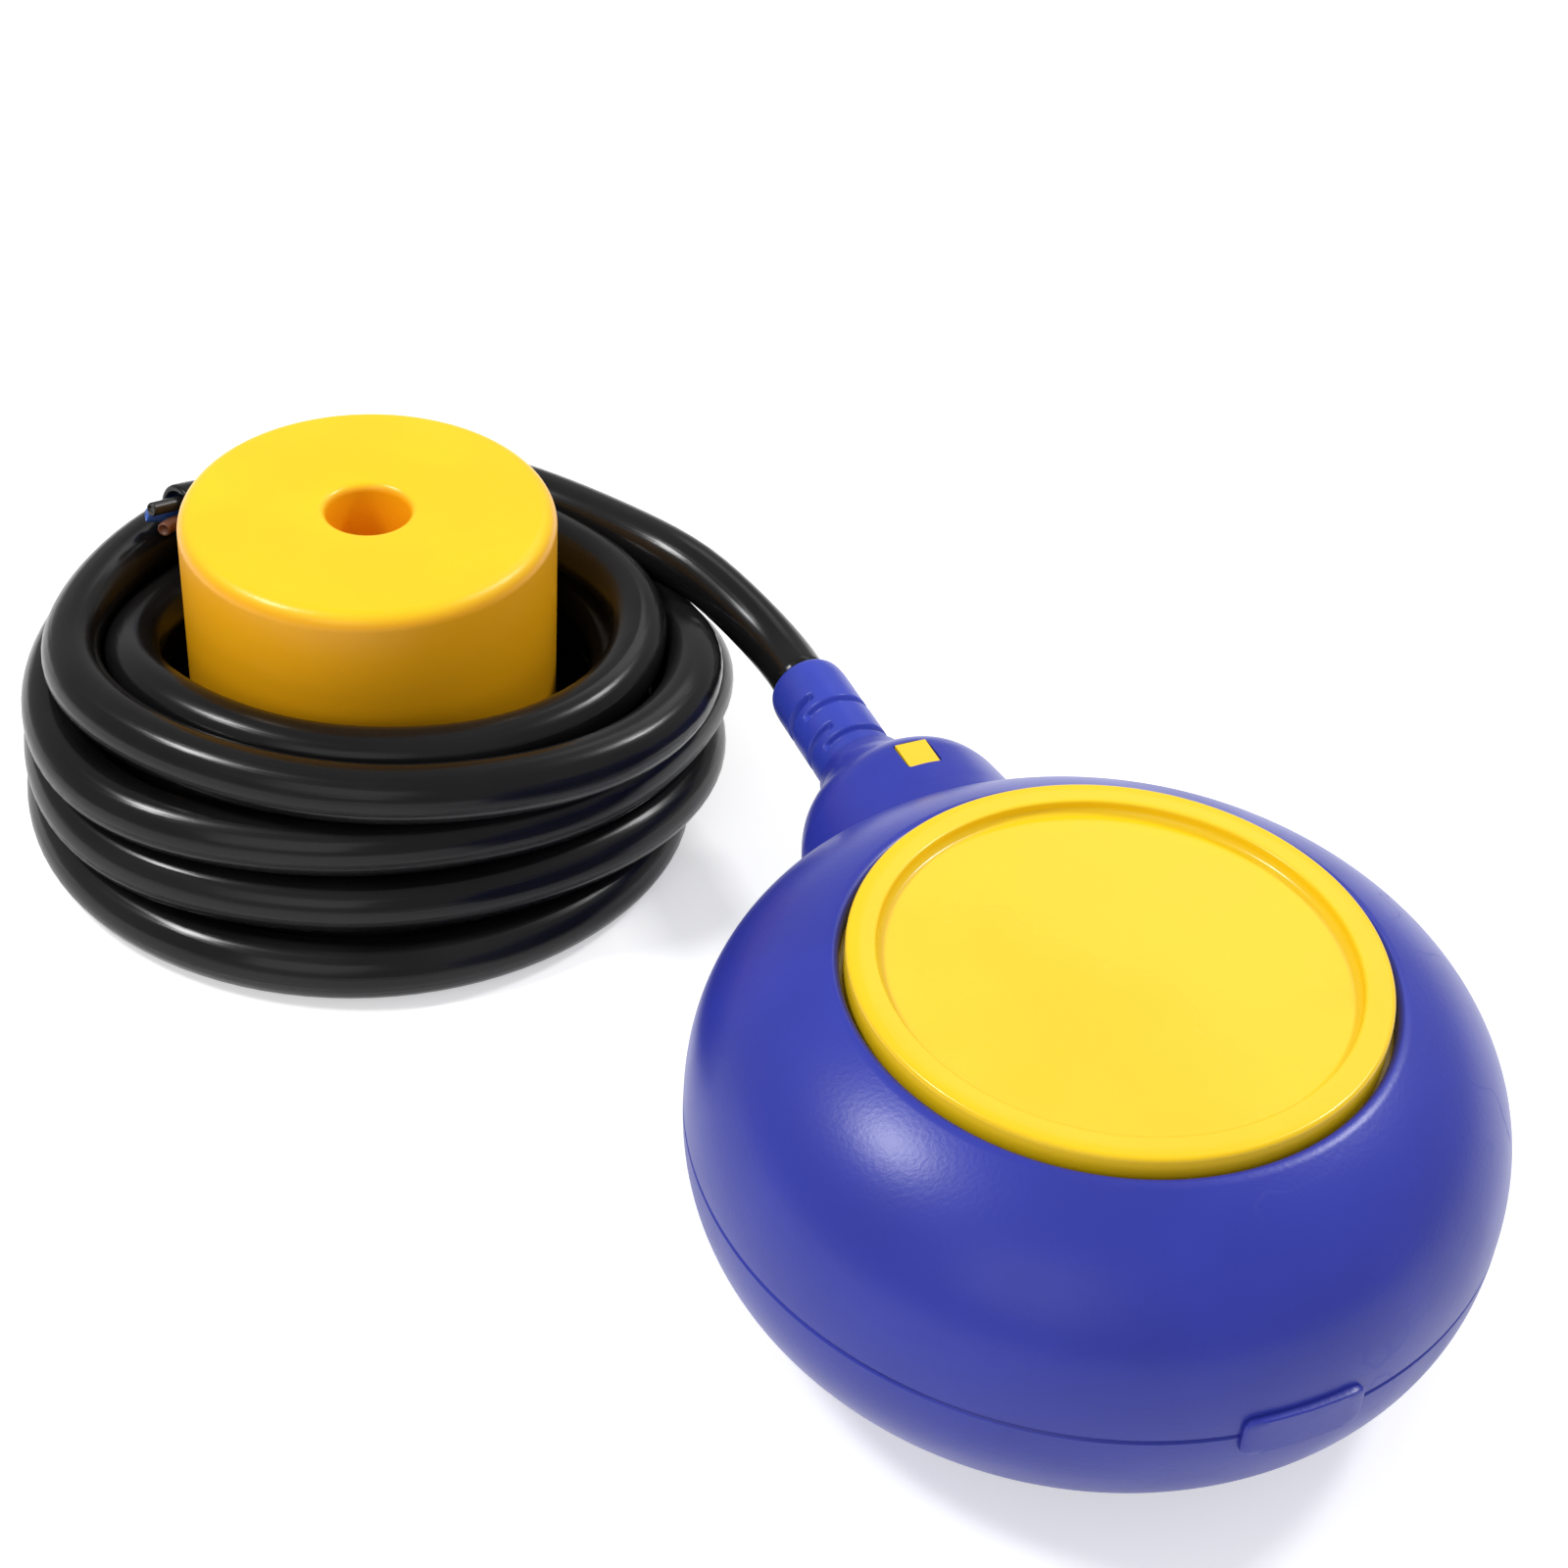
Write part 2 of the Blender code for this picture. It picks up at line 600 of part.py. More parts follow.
def neck_bush(parent):
    outline = [
        (BUSH_BORE, BUSH_START_Y),
        (BUSH_FLANGE_RADIUS, BUSH_START_Y),
        (BUSH_FLANGE_RADIUS, BUSH_START_Y + BUSH_FLANGE),
        (BUSH_RADIUS, BUSH_START_Y + BUSH_FLANGE),
        (BUSH_RADIUS, BUSH_END_Y),
        (CABLE_HOLE, BUSH_END_Y),
        (CABLE_HOLE, BUSH_END_Y - BUSH_STOP),
        (BUSH_BORE, BUSH_END_Y - BUSH_STOP),
    ]
    bush = turned("neck_bush", outline, YELLOW, parent, sides=32, axis="Y")
    root = (BUSH_RADIUS + BUSH_BORE) / 2
    low = (-LUG_WIDTH / 2, LUG_Y - LUG_LENGTH / 2, root)
    high = (LUG_WIDTH / 2, LUG_Y + LUG_LENGTH / 2, boss_half_height(LUG_Y))
    join(bush, block("lug", low, high, YELLOW, parent))


def cable_seal(parent):
    """A ribbed rubber sleeve between the cable and the bush's bore."""
    start = BUSH_END_Y - BUSH_STOP - SEAT_GAP - SEAL_SLEEVE_LENGTH
    outer = BUSH_BORE - SEAT_GAP
    pitch = SEAL_SLEEVE_LENGTH / SEAL_RIBS
    outline = [(CABLE_HOLE, start + SEAL_SLEEVE_LENGTH), (CABLE_HOLE, start)]
    for k in range(SEAL_RIBS):
        outline.append((outer, start + pitch * k))
        outline.append((outer, start + pitch * (k + 0.5)))
        if k < SEAL_RIBS - 1:
            outline.append((outer - SEAL_RIB_DEPTH, start + pitch * (k + 0.75)))
    outline.append((outer, start + SEAL_SLEEVE_LENGTH))
    turned("cable_seal", outline, RUBBER, parent, sides=24, axis="Y")


def gland_nut(parent):
    """A hexagon-headed nut that closes the bush's inner end on the sleeve."""
    head = BUSH_START_Y - SEAT_GAP - NUT_HEAD
    outer = BUSH_BORE - SEAT_GAP
    end = BUSH_END_Y - BUSH_STOP - 2 * SEAT_GAP - SEAL_SLEEVE_LENGTH
    outline = [(CABLE_HOLE, head), (outer, head), (outer, end), (CABLE_HOLE, end)]
    nut = turned("gland_nut", outline, WHITE, parent, sides=24, axis="Y")
    hole = (CABLE_HOLE + SEAT_GAP) / math.cos(math.pi / 6)
    hexagon = [(hole, head), (NUT_HEAD_RADIUS, head), (NUT_HEAD_RADIUS, head + NUT_HEAD), (hole, head + NUT_HEAD)]
    join(nut, turned("nut_head", hexagon, WHITE, parent, sides=6, axis="Y"))


def cable_inner(parent):
    rod("cable_inner", CABLE_RADIUS, CABLE_END_Y, BOOT_END_Y, BLACK, parent, sides=16, axis="Y")


def slot_cutter(name, y, side, parent):
    """Part of a ring that cuts one slot, centred on the boot's left or right side."""
    middle = 0.0 if side > 0 else math.pi
    turns = [middle + SLOT_HALF_ANGLE * k / 10 for k in range(-10, 11)]
    outer = BOOT_RADIUS + SLOT_DEPTH
    inner = BOOT_RADIUS - SLOT_DEPTH
    outline = [(outer * math.cos(t), outer * math.sin(t)) for t in turns]
    outline += [(inner * math.cos(t), inner * math.sin(t)) for t in reversed(turns)]
    cutter = prism(name, outline, -SLOT_WIDTH / 2, SLOT_WIDTH / 2, BLUE, parent, (0, y, 0))
    cutter.rotation_euler = (math.radians(90), 0, 0)
    return cutter


def strain_relief_boot(parent):
    outline = [
        (CABLE_HOLE, BOOT_START_Y),
        (BOOT_FLANGE_RADIUS, BOOT_START_Y),
        (BOOT_FLANGE_RADIUS, BOOT_FLANGE_Y),
        (BOOT_RADIUS, BOOT_FLANGE_Y),
    ]
    nose_radius = CABLE_HOLE + BOOT_LIP
    for k in range(6):
        turn = math.pi / 2 * k / 5
        radius = nose_radius + (BOOT_RADIUS - nose_radius) * math.cos(turn)
        outline.append((radius, BOOT_END_Y - BOOT_NOSE * (1 - math.sin(turn))))
    outline.append((CABLE_HOLE, BOOT_END_Y))
    boot = turned("strain_relief_boot", outline, BLUE, parent, sides=32, axis="Y")
    for k in range(SLOT_COUNT):
        side = 1 if k % 2 == 0 else -1
        cut(boot, slot_cutter(f"slot_{k}", SLOT_FIRST_Y + SLOT_PITCH * k, side, parent))


def carrier_outline():
    """A disc cut off straight at its sides, front and back."""
    points = []
    for k in range(48):
        turn = 2 * math.pi * k / 48
        x = min(max(CARRIER_RADIUS * math.cos(turn), -CARRIER_HALF_WIDTH), CARRIER_HALF_WIDTH)
        y = min(max(CARRIER_RADIUS * math.sin(turn), CARRIER_FRONT_Y), CARRIER_BACK_Y)
        points.append((x, y))
    return points


def switch_carrier(parent):
    """The moulded plate with the ball's track, the lever's seat, the switch's pad and the cable's cradle."""
    carrier = prism("switch_carrier", carrier_outline(), CARRIER_BOTTOM, CARRIER_TOP, WHITE, parent)
    root = CARRIER_TOP - CARRIER_THICKNESS / 2
    front_right = PIVOT_X - LEVER_HUB - 2 * SEAT_GAP
    walls = {
        "left_wall": ((TRACK_LEFT, TRACK_FRONT_Y), (TRACK_LEFT + TRACK_WALL, TRACK_BACK_Y), WALL_TOP),
        "front_wall": ((TRACK_LEFT, TRACK_FRONT_Y), (front_right, TRACK_FRONT_Y + TRACK_WALL), WALL_TOP),
        "back_wall": ((TRACK_LEFT, TRACK_BACK_Y - TRACK_WALL), (RAIL_X + RAIL_WIDTH, TRACK_BACK_Y), WALL_TOP),
        "rail": ((RAIL_X, TRACK_FRONT_Y), (RAIL_X + RAIL_WIDTH, TRACK_BACK_Y), RAIL_TOP),
        "pad": (
            (SWITCH_X + SWITCH_WALL, SWITCH_FRONT_Y + SWITCH_WALL),
            (SWITCH_BACK_X - SWITCH_WALL, SWITCH_BACK_Y - SWITCH_WALL),
            -SWITCH_HALF_HEIGHT - SEAT_GAP,
        ),
        "cradle": (
            (-CLAMP_HALF_LENGTH, CLAMP_Y - CLAMP_WIDTH / 2),
            (CLAMP_HALF_LENGTH, CLAMP_Y + CLAMP_WIDTH / 2),
            -SEAT_GAP / 2,
        ),
    }
    for name, (low, high, top) in walls.items():
        join(carrier, block(name, (*low, root), (*high, top), WHITE, parent))
    for k, (x, y) in enumerate(COVER_SCREWS):
        join(carrier, rod(f"post_{k}", POST_RADIUS, root, WALL_TOP, WHITE, parent, (x, y, 0)))
    seat_top = -LEVER_HALF_HEIGHT - SEAT_GAP
    join(carrier, rod("lever_seat", LEVER_HUB, root, seat_top, WHITE, parent, (PIVOT_X, PIVOT_Y, 0)))
    hole = SCREW_RADIUS + SEAT_GAP
    below = CARRIER_BOTTOM - SEAT_GAP
    for k, (x, y) in enumerate(CARRIER_SCREWS):
        cut(carrier, rod(f"plate_hole_{k}", hole, below, 0, WHITE, parent, (x, y, 0)))
    for k, (x, y) in enumerate(COVER_SCREWS):
        cut(carrier, rod(f"post_hole_{k}", hole, 0, BALL_RADIUS * 2, WHITE, parent, (x, y, 0)))
    for k, x in enumerate((-CLAMP_SCREW_X, CLAMP_SCREW_X)):
        cut(carrier, rod(f"cradle_hole_{k}", hole, CARRIER_TOP, CLAMP_HEIGHT, WHITE, parent, (x, CLAMP_Y, 0)))
    for k, y in enumerate(SWITCH_SCREW_Y):
        wide = SWITCH_SCREW_RADIUS + SEAT_GAP
        cut(carrier, rod(f"pad_hole_{k}", wide, below, 0, WHITE, parent, (SWITCH_SCREW_X, y, 0)))
    cut(carrier, rod("pin_hole", PIN_RADIUS + RUNNING_GAP, below, 0, WHITE, parent, (PIVOT_X, PIVOT_Y, 0)))
    groove_start = CLAMP_Y - CLAMP_WIDTH
    groove_end = CLAMP_Y + CLAMP_WIDTH
    cut(carrier, rod("groove", CABLE_HOLE, groove_start, groove_end, WHITE, parent, sides=24, axis="Y"))


def track_cover(parent):
    low = WALL_TOP + SEAT_GAP
    high = low + TRACK_COVER
    cover = block(
        "track_cover", (TRACK_LEFT, TRACK_FRONT_Y, low), (RAIL_X + RAIL_WIDTH, TRACK_BACK_Y, high), WHITE, parent
    )
    for k, (x, y) in enumerate(COVER_SCREWS):
        join(cover, rod(f"ear_{k}", SCREW_HEAD_RADIUS, low, high, WHITE, parent, (x, y, 0), sides=20))
        cut(cover, rod(f"ear_hole_{k}", SCREW_RADIUS + SEAT_GAP, 0, 2 * high, WHITE, parent, (x, y, 0)))


def screw(name, place, seat, length, parent, radius=SCREW_RADIUS):
    """A slotted pan-head screw whose head sits on the seat height, pointing down."""
    head_radius = SCREW_HEAD_RADIUS
    low = seat + SEAT_GAP
    outline = [
        (0, low - length),
        (radius, low - length),
        (radius, low),
        (head_radius, low),
        (head_radius, low + 0.6 * SCREW_HEAD),
        (0.7 * head_radius, low + SCREW_HEAD),
        (0, low + SCREW_HEAD),
    ]
    made = turned(name, outline, STEEL, parent, (*place, 0), sides=14)
    half = SCREW_SLOT / 2
    low_corner = (-head_radius - SEAT_GAP, -half, low + 0.5 * SCREW_HEAD)
    high_corner = (head_radius + SEAT_GAP, half, low + 2 * SCREW_HEAD)
    cut(made, block(f"{name}_slot", low_corner, high_corner, STEEL, parent, (*place, 0)))


def fasteners(parent):
    for k, place in enumerate(CARRIER_SCREWS):
        screw(f"carrier_screw_{k + 1}", place, CARRIER_TOP, CARRIER_SCREW_LENGTH, parent)
    cover_top = WALL_TOP + SEAT_GAP + TRACK_COVER
    for k, place in enumerate(COVER_SCREWS):
        screw(f"cover_screw_{k + 1}", place, cover_top, BALL_RADIUS, parent)
    for k, x in enumerate((-CLAMP_SCREW_X, CLAMP_SCREW_X)):
        screw(f"clamp_screw_{k + 1}", (x, CLAMP_Y), CLAMP_HEIGHT, 2 * CLAMP_HEIGHT, parent)
    length = SWITCH_HALF_HEIGHT - CARRIER_BOTTOM
    for k, y in enumerate(SWITCH_SCREW_Y):
        place = (SWITCH_SCREW_X, y)
        screw(f"switch_screw_{k + 1}", place, SWITCH_HALF_HEIGHT, length, parent, SWITCH_SCREW_RADIUS)


def cord_clamp(parent):
    low = (-CLAMP_HALF_LENGTH, CLAMP_Y - CLAMP_WIDTH / 2, SEAT_GAP / 2)
    high = (CLAMP_HALF_LENGTH, CLAMP_Y + CLAMP_WIDTH / 2, CLAMP_HEIGHT)
    clamp = block("cord_clamp", low, high, WHITE, parent)
    groove_start = CLAMP_Y - CLAMP_WIDTH
    groove_end = CLAMP_Y + CLAMP_WIDTH
    cut(clamp, rod("clamp_groove", CABLE_HOLE, groove_start, groove_end, WHITE, parent, sides=24, axis="Y"))
    for k, x in enumerate((-CLAMP_SCREW_X, CLAMP_SCREW_X)):
        hole = SCREW_RADIUS + SEAT_GAP
        cut(clamp, rod(f"clamp_hole_{k}", hole, -CLAMP_HEIGHT, 2 * CLAMP_HEIGHT, WHITE, parent, (x, CLAMP_Y, 0)))


def steel_ball(parent):
    steps = 12
    outline = [(0, -BALL_RADIUS)]
    for k in range(1, steps):
        turn = math.pi * k / steps
        outline.append((BALL_RADIUS * math.sin(turn), -BALL_RADIUS * math.cos(turn)))
    outline.append((0, BALL_RADIUS))
    turned("steel_ball", outline, STEEL, parent, (TRACK_X, BALL_START_Y, 0), sides=24)


def trip_lever(parent):
    """The lever lies in its own frame along +Y from its pivot, with the ball's side on X = 0."""
    pivot = empty("lever_axis", (PIVOT_X, PIVOT_Y, 0), parent)
    height = LEVER_HALF_HEIGHT
    lever = rod("trip_lever", LEVER_HUB, -height, height, WHITE, pivot, sides=24)
    join(lever, block("arm", (0, 0, -height), (LEVER_THICKNESS, LEVER_LENGTH, height), WHITE, pivot))
    cut(lever, rod("lever_bore", PIN_RADIUS + RUNNING_GAP, -2 * height, 2 * height, WHITE, pivot, sides=24))
    pivot.rotation_euler = (0, 0, LEVER_REST)


def lever_pin(parent):
    neck = LEVER_HALF_HEIGHT + SEAT_GAP
    outline = [
        (0, CARRIER_BOTTOM),
        (PIN_RADIUS, CARRIER_BOTTOM),
        (PIN_RADIUS, neck),
        (PIN_HEAD_RADIUS, neck),
        (PIN_HEAD_RADIUS, neck + PIN_HEAD),
        (0, neck + PIN_HEAD),
    ]
    turned("lever_pin", outline, STEEL, parent, (PIVOT_X, PIVOT_Y, 0), sides=24)


def microswitch_case(parent):
    """An open box with two screw columns, a hole for the plunger and slots for the terminals."""
    low, high = -SWITCH_HALF_HEIGHT, SWITCH_CASE_TOP
    case = block("microswitch_case", (SWITCH_X, SWITCH_FRONT_Y, low), (SWITCH_BACK_X, SWITCH_BACK_Y, high), CASE, parent)
    inside_low = (SWITCH_X + SWITCH_WALL, SWITCH_FRONT_Y + SWITCH_WALL, low + SWITCH_WALL)
    inside_high = (SWITCH_BACK_X - SWITCH_WALL, SWITCH_BACK_Y - SWITCH_WALL, high + SWITCH_WALL)
    cut(case, block("case_inside", inside_low, inside_high, CASE, parent))
    for k, y in enumerate(SWITCH_SCREW_Y):
        place = (SWITCH_SCREW_X, y, 0)
        column = SWITCH_SCREW_RADIUS + SEAT_GAP + SWITCH_WALL
        join(case, rod(f"case_column_{k}", column, low + SWITCH_WALL / 2, high, CASE, parent, place, sides=20))
        hole = SWITCH_SCREW_RADIUS + SEAT_GAP
        cut(case, rod(f"case_hole_{k}", hole, 2 * low, 2 * high, CASE, parent, place))
    start = SWITCH_X - SWITCH_WALL
    hole = PLUNGER_RADIUS + RUNNING_GAP
    cut(case, rod("plunger_hole", hole, start, start + 3 * SWITCH_WALL, CASE, parent, (0, PLUNGER_Y, 0), axis="X"))
    for name, y in (("nc", NC_Y), ("no", NO_Y), ("common", COMMON_Y)):
        half = STRAP_THICKNESS / 2 + SEAT_GAP
        reach = STRAP_HALF_HEIGHT + SEAT_GAP
        slot_low = (SWITCH_BACK_X - 2 * SWITCH_WALL, y - half, -reach)
        slot_high = (SWITCH_BACK_X + SWITCH_WALL, y + half, reach)
        cut(case, block(f"slot_{name}", slot_low, slot_high, CASE, parent))


def microswitch_lid(parent):
    low = SWITCH_CASE_TOP + SEAT_GAP
    lid = block(
        "microswitch_lid", (SWITCH_X, SWITCH_FRONT_Y, low), (SWITCH_BACK_X, SWITCH_BACK_Y, low + SWITCH_LID), CASE, parent
    )
    for k, y in enumerate(SWITCH_SCREW_Y):
        hole = SWITCH_SCREW_RADIUS + SEAT_GAP
        cut(lid, rod(f"lid_hole_{k}", hole, 0, 2 * low, CASE, parent, (SWITCH_SCREW_X, y, 0)))


def switch_plunger(parent):
    collar_start = SWITCH_X + SWITCH_WALL + SEAT_GAP
    outline = [
        (0, PLUNGER_TIP_X),
        (0.7 * PLUNGER_RADIUS, PLUNGER_TIP_X),
        (PLUNGER_RADIUS, PLUNGER_TIP_X + 0.3 * PLUNGER_RADIUS),
        (PLUNGER_RADIUS, collar_start),
        (PLUNGER_COLLAR, collar_start),
        (PLUNGER_COLLAR, collar_start + SWITCH_LID),
        (PLUNGER_RADIUS, collar_start + SWITCH_LID),
        (PLUNGER_RADIUS, SWITCH_X + PLUNGER_INSIDE),
        (0, SWITCH_X + PLUNGER_INSIDE),
    ]
    turned("switch_plunger", outline, RED, parent, (0, PLUNGER_Y, 0), sides=20, axis="X")


def contact_blade(parent):
    """A flat spring with a contact rivet through its tip; it swings about its end at the common terminal."""
    hinge = empty("blade_axis", (BLADE_X, BLADE_HINGE_Y, 0), parent)
    tip = CONTACT_Y - CONTACT_RADIUS - BLADE_HINGE_Y
    height = BLADE_HALF_HEIGHT
    blade = block("contact_blade", (0, tip, -height), (BLADE_THICKNESS, 0, height), BRASS, hinge)
    place = (0, CONTACT_Y - BLADE_HINGE_Y, 0)
    ends = (-CONTACT_HEIGHT, BLADE_THICKNESS + CONTACT_HEIGHT)
    join(blade, rod("blade_rivet", CONTACT_RADIUS, *ends, BRASS, hinge, place, axis="X"))


def terminal(name, y, arm, rivet, parent):
    """A strap through the case's back wall with a wide tab outside; arm is its inner end, rivet its contact."""
    start, arm_low, arm_high, arm_thickness = arm
    half = STRAP_THICKNESS / 2
    height = STRAP_HALF_HEIGHT
    end = SWITCH_BACK_X + TAB_END
    strap = block(name, (start, y - half, -height), (end, y + half, height), BRASS, parent)
    tab_low = (SWITCH_BACK_X + SEAT_GAP, y - half, -TAB_HALF_HEIGHT)
    join(strap, block(f"{name}_tab", tab_low, (end, y + half, TAB_HALF_HEIGHT), BRASS, parent))
    if arm_thickness:
        arm_far = (start + arm_thickness, arm_high, height)
        join(strap, block(f"{name}_arm", (start, arm_low, -height), arm_far, BRASS, parent))
    if rivet:
        join(strap, rod(f"{name}_rivet", CONTACT_RADIUS, *rivet, BRASS, parent, (0, CONTACT_Y, 0), axis="X"))


def terminals(parent):
    half = STRAP_THICKNESS / 2
    nc_face = BLADE_X - CONTACT_HEIGHT - SEAT_GAP
    nc_arm = nc_face - CONTACT_HEIGHT - STRAP_THICKNESS
    nc_reach = CONTACT_Y + CONTACT_RADIUS
    terminal(
        "terminal_nc", NC_Y, (nc_arm, NC_Y - half, nc_reach, STRAP_THICKNESS), (nc_arm + half, nc_face), parent
    )
    no_face = BLADE_X + BLADE_THICKNESS + CONTACT_HEIGHT + CONTACT_TRAVEL + SEAT_GAP
    no_arm = no_face + CONTACT_HEIGHT
    no_reach = CONTACT_Y - CONTACT_RADIUS
    terminal(
        "terminal_no", NO_Y, (no_arm, no_reach, NO_Y + half, STRAP_THICKNESS), (no_face, no_arm + half), parent
    )
    terminal("terminal_common", COMMON_Y, (BLADE_X - half, 0, 0, 0), None, parent)


def receptacle(name, y, parent):
    """A push-on sleeve over a terminal's tab."""
    start = SWITCH_BACK_X + TAB_END - SLEEVE_LENGTH + 2 * STRAP_THICKNESS
    low = (start, y - SLEEVE_HALF_WIDTH, -SLEEVE_HALF_HEIGHT)
    high = (start + SLEEVE_LENGTH, y + SLEEVE_HALF_WIDTH, SLEEVE_HALF_HEIGHT)
    sleeve = block(name, low, high, BRASS, parent)
    half = STRAP_THICKNESS / 2 + SEAT_GAP
    reach = TAB_HALF_HEIGHT + SEAT_GAP
    slot_low = (start - SEAT_GAP, y - half, -reach)
    slot_high = (SWITCH_BACK_X + TAB_END + SEAT_GAP, y + half, reach)
    cut(sleeve, block(f"{name}_slot", slot_low, slot_high, BRASS, parent))
    return start + SLEEVE_LENGTH + SEAT_GAP


def wiring(parent):
    """Receptacles and the three cores, each from the stripped cable end round to its terminal."""
    gap = CORE_RADIUS / 2
    start = CABLE_END_Y - gap
    routes = {
        "common": (CORE_BLACK, COMMON_Y, (0.0015, -0.0009), [
            (0.0045, 0.0100, -0.0010), (0.0120, 0.0098, -0.0010), (0.0200, 0.0100, -0.0010),
            (0.0252, 0.0085, -0.0008), (0.0258, 0.0050, -0.0004),
        ]),
        "no": (CORE_BLUE, NO_Y, (0.0000, 0.0017), [
            (0.0060, 0.0104, 0.0030), (0.0160, 0.0100, 0.0034), (0.0250, 0.0060, 0.0034),
            (0.0288, -0.0020, 0.0030), (0.0280, -0.0090, 0.0015),
        ]),
        "nc": (BROWN, NC_Y, (-0.0015, -0.0009), [
            (0.0030, 0.0092, -0.0036), (0.0160, 0.0080, -0.0040), (0.0262, 0.0045, -0.0042),
            (0.0300, -0.0030, -0.0040), (0.0295, -0.0110, -0.0030), (0.0265, -0.0170, -0.0010),
        ]),
    }
    for name, (look, y, (x, z), between) in routes.items():
        end = receptacle(f"receptacle_{name}", y, parent)
        last = [(end + gap + 2 * CORE_RADIUS, y, 0), (end + gap, y, 0)]
        points = [(x, start, z), (x, start - 2 * CORE_RADIUS, z)] + between + last
        cord(f"core_{name}", points, CORE_RADIUS, look, parent, 2 * CORE_RADIUS)


def counterweight(parent):
    """A turned weight with a through bore, rounded at its edges and at the bore's mouths."""
    outline = []
    for k in range(5):
        turn = math.pi / 2 * k / 4
        outline.append((
            WEIGHT_RADIUS - WEIGHT_ROUND * (1 - math.sin(turn)),
            WEIGHT_HEIGHT - WEIGHT_ROUND * (1 - math.cos(turn)),
        ))
    foot = WEIGHT_ROUND / 2
    for k in range(3):
        turn = math.pi / 2 * k / 2
        outline.append((WEIGHT_RADIUS - foot * (1 - math.cos(turn)), foot * (1 - math.sin(turn))))
    for k in range(3):
        turn = math.pi / 2 * k / 2
        outline.append((WEIGHT_BORE + WEIGHT_LIP * (1 - math.sin(turn)), WEIGHT_LIP * (1 - math.cos(turn))))
    for k in range(4):
        turn = math.pi / 2 * k / 3
        outline.append((WEIGHT_BORE + WEIGHT_LIP * (1 - math.cos(turn)), WEIGHT_HEIGHT - WEIGHT_LIP * (1 - math.sin(turn))))
    turned("counterweight", outline, AMBER, parent, sides=WEIGHT_SIDES)


def cable_coil(parent):
    """The coil as one turned ring: the outer column of turns stops a layer below the others."""
    edge = CABLE_RADIUS
    outline = []
    for k in range(3):
        turn = math.pi / 2 * k / 2
        outline.append((COIL_EDGE_RADIUS - edge * (1 - math.cos(turn)), edge * (1 - math.sin(turn))))
    for k in range(3):
        turn = math.pi / 2 * k / 2
        outline.append((COIL_INNER_RADIUS + edge * (1 - math.sin(turn)), edge * (1 - math.cos(turn))))
    for k in range(3):
        turn = math.pi / 2 * k / 2
        outline.append((COIL_INNER_RADIUS + edge * (1 - math.cos(turn)), COIL_TOP - edge * (1 - math.sin(turn))))
    for k in range(3):
        turn = math.pi / 2 * k / 2
        outline.append((COIL_SHOULDER_RADIUS - edge * (1 - math.sin(turn)), COIL_TOP - edge * (1 - math.cos(turn))))
    outline.append((COIL_SHOULDER_RADIUS, COIL_SHOULDER))
    for k in range(3):
        turn = math.pi / 2 * k / 2
        outline.append((COIL_EDGE_RADIUS - edge * (1 - math.sin(turn)), COIL_SHOULDER - edge * (1 - math.cos(turn))))
    turned("cable_coil", outline, BLACK, parent, sides=COIL_SIDES)


def cable_lead():
    """From the boot's mouth on to the coil's shoulder, then once round it as the top outer turn."""
    mouth = Vector((BODY_CENTRE.x, BODY_CENTRE.y + BOOT_END_Y + SEAT_GAP, FACE_HEIGHT))
    height = COIL_SHOULDER + 2 * SEAT_GAP + CABLE_RADIUS
    rise = height - mouth.z
    points = [
        mouth,
        mouth + Vector((0.0, 0.0080, 0.0)),
        mouth + Vector((-0.0003, 0.0165, 0.0002)),
        mouth + Vector((-0.0028, 0.0270, rise)),
        mouth + Vector((-0.0054, 0.0350, rise)),
    ]
    for degrees in range(12, 313, 20):
        turn = math.radians(degrees)
        reach = COIL_OUTER_RADIUS + 2 * SEAT_GAP
        points.append(Vector((*COIL_CENTRE, height)) + Vector((reach * math.cos(turn), reach * math.sin(turn), 0)))
    cord("cable_lead", points, CABLE_RADIUS, BLACK, None, 4 * CABLE_RADIUS)


def cable_tail(parent):
    """The free end, lying on top of the coil, with its three cores bared."""
    height = COIL_TOP + SEAT_GAP + CABLE_RADIUS
    points = []
    for degrees in TAIL_DEGREES:
        turn = math.radians(degrees)
        reach = COIL_OUTER_RADIUS - 2 * CABLE_RADIUS - TAIL_INSET
        points.append(Vector((reach * math.cos(turn), reach * math.sin(turn), height)))
    cord("cable_tail", points, CABLE_RADIUS, BLACK, parent, 3 * CABLE_RADIUS)
    ahead = (points[-1] - points[-2]).normalized()
    ahead = Matrix.Rotation(TAIL_BEND, 3, "Z") @ ahead
    across = Vector((-ahead.y, ahead.x, 0))
    places = {"brown": (BROWN, 0.0015, -0.0009), "blue": (CORE_BLUE, -0.0015, -0.0009), "black": (CORE_BLACK, 0.0, 0.0017)}
    for name, (look, side, up) in places.items():
        start = points[-1] + ahead * CORE_RADIUS / 2 + across * side + Vector((0, 0, up))
        route = [start, start + ahead * 0.004, start + ahead * 0.009 + across * side]
        cord(f"tail_core_{name}", route, CORE_RADIUS, look, parent, 3 * CORE_RADIUS)


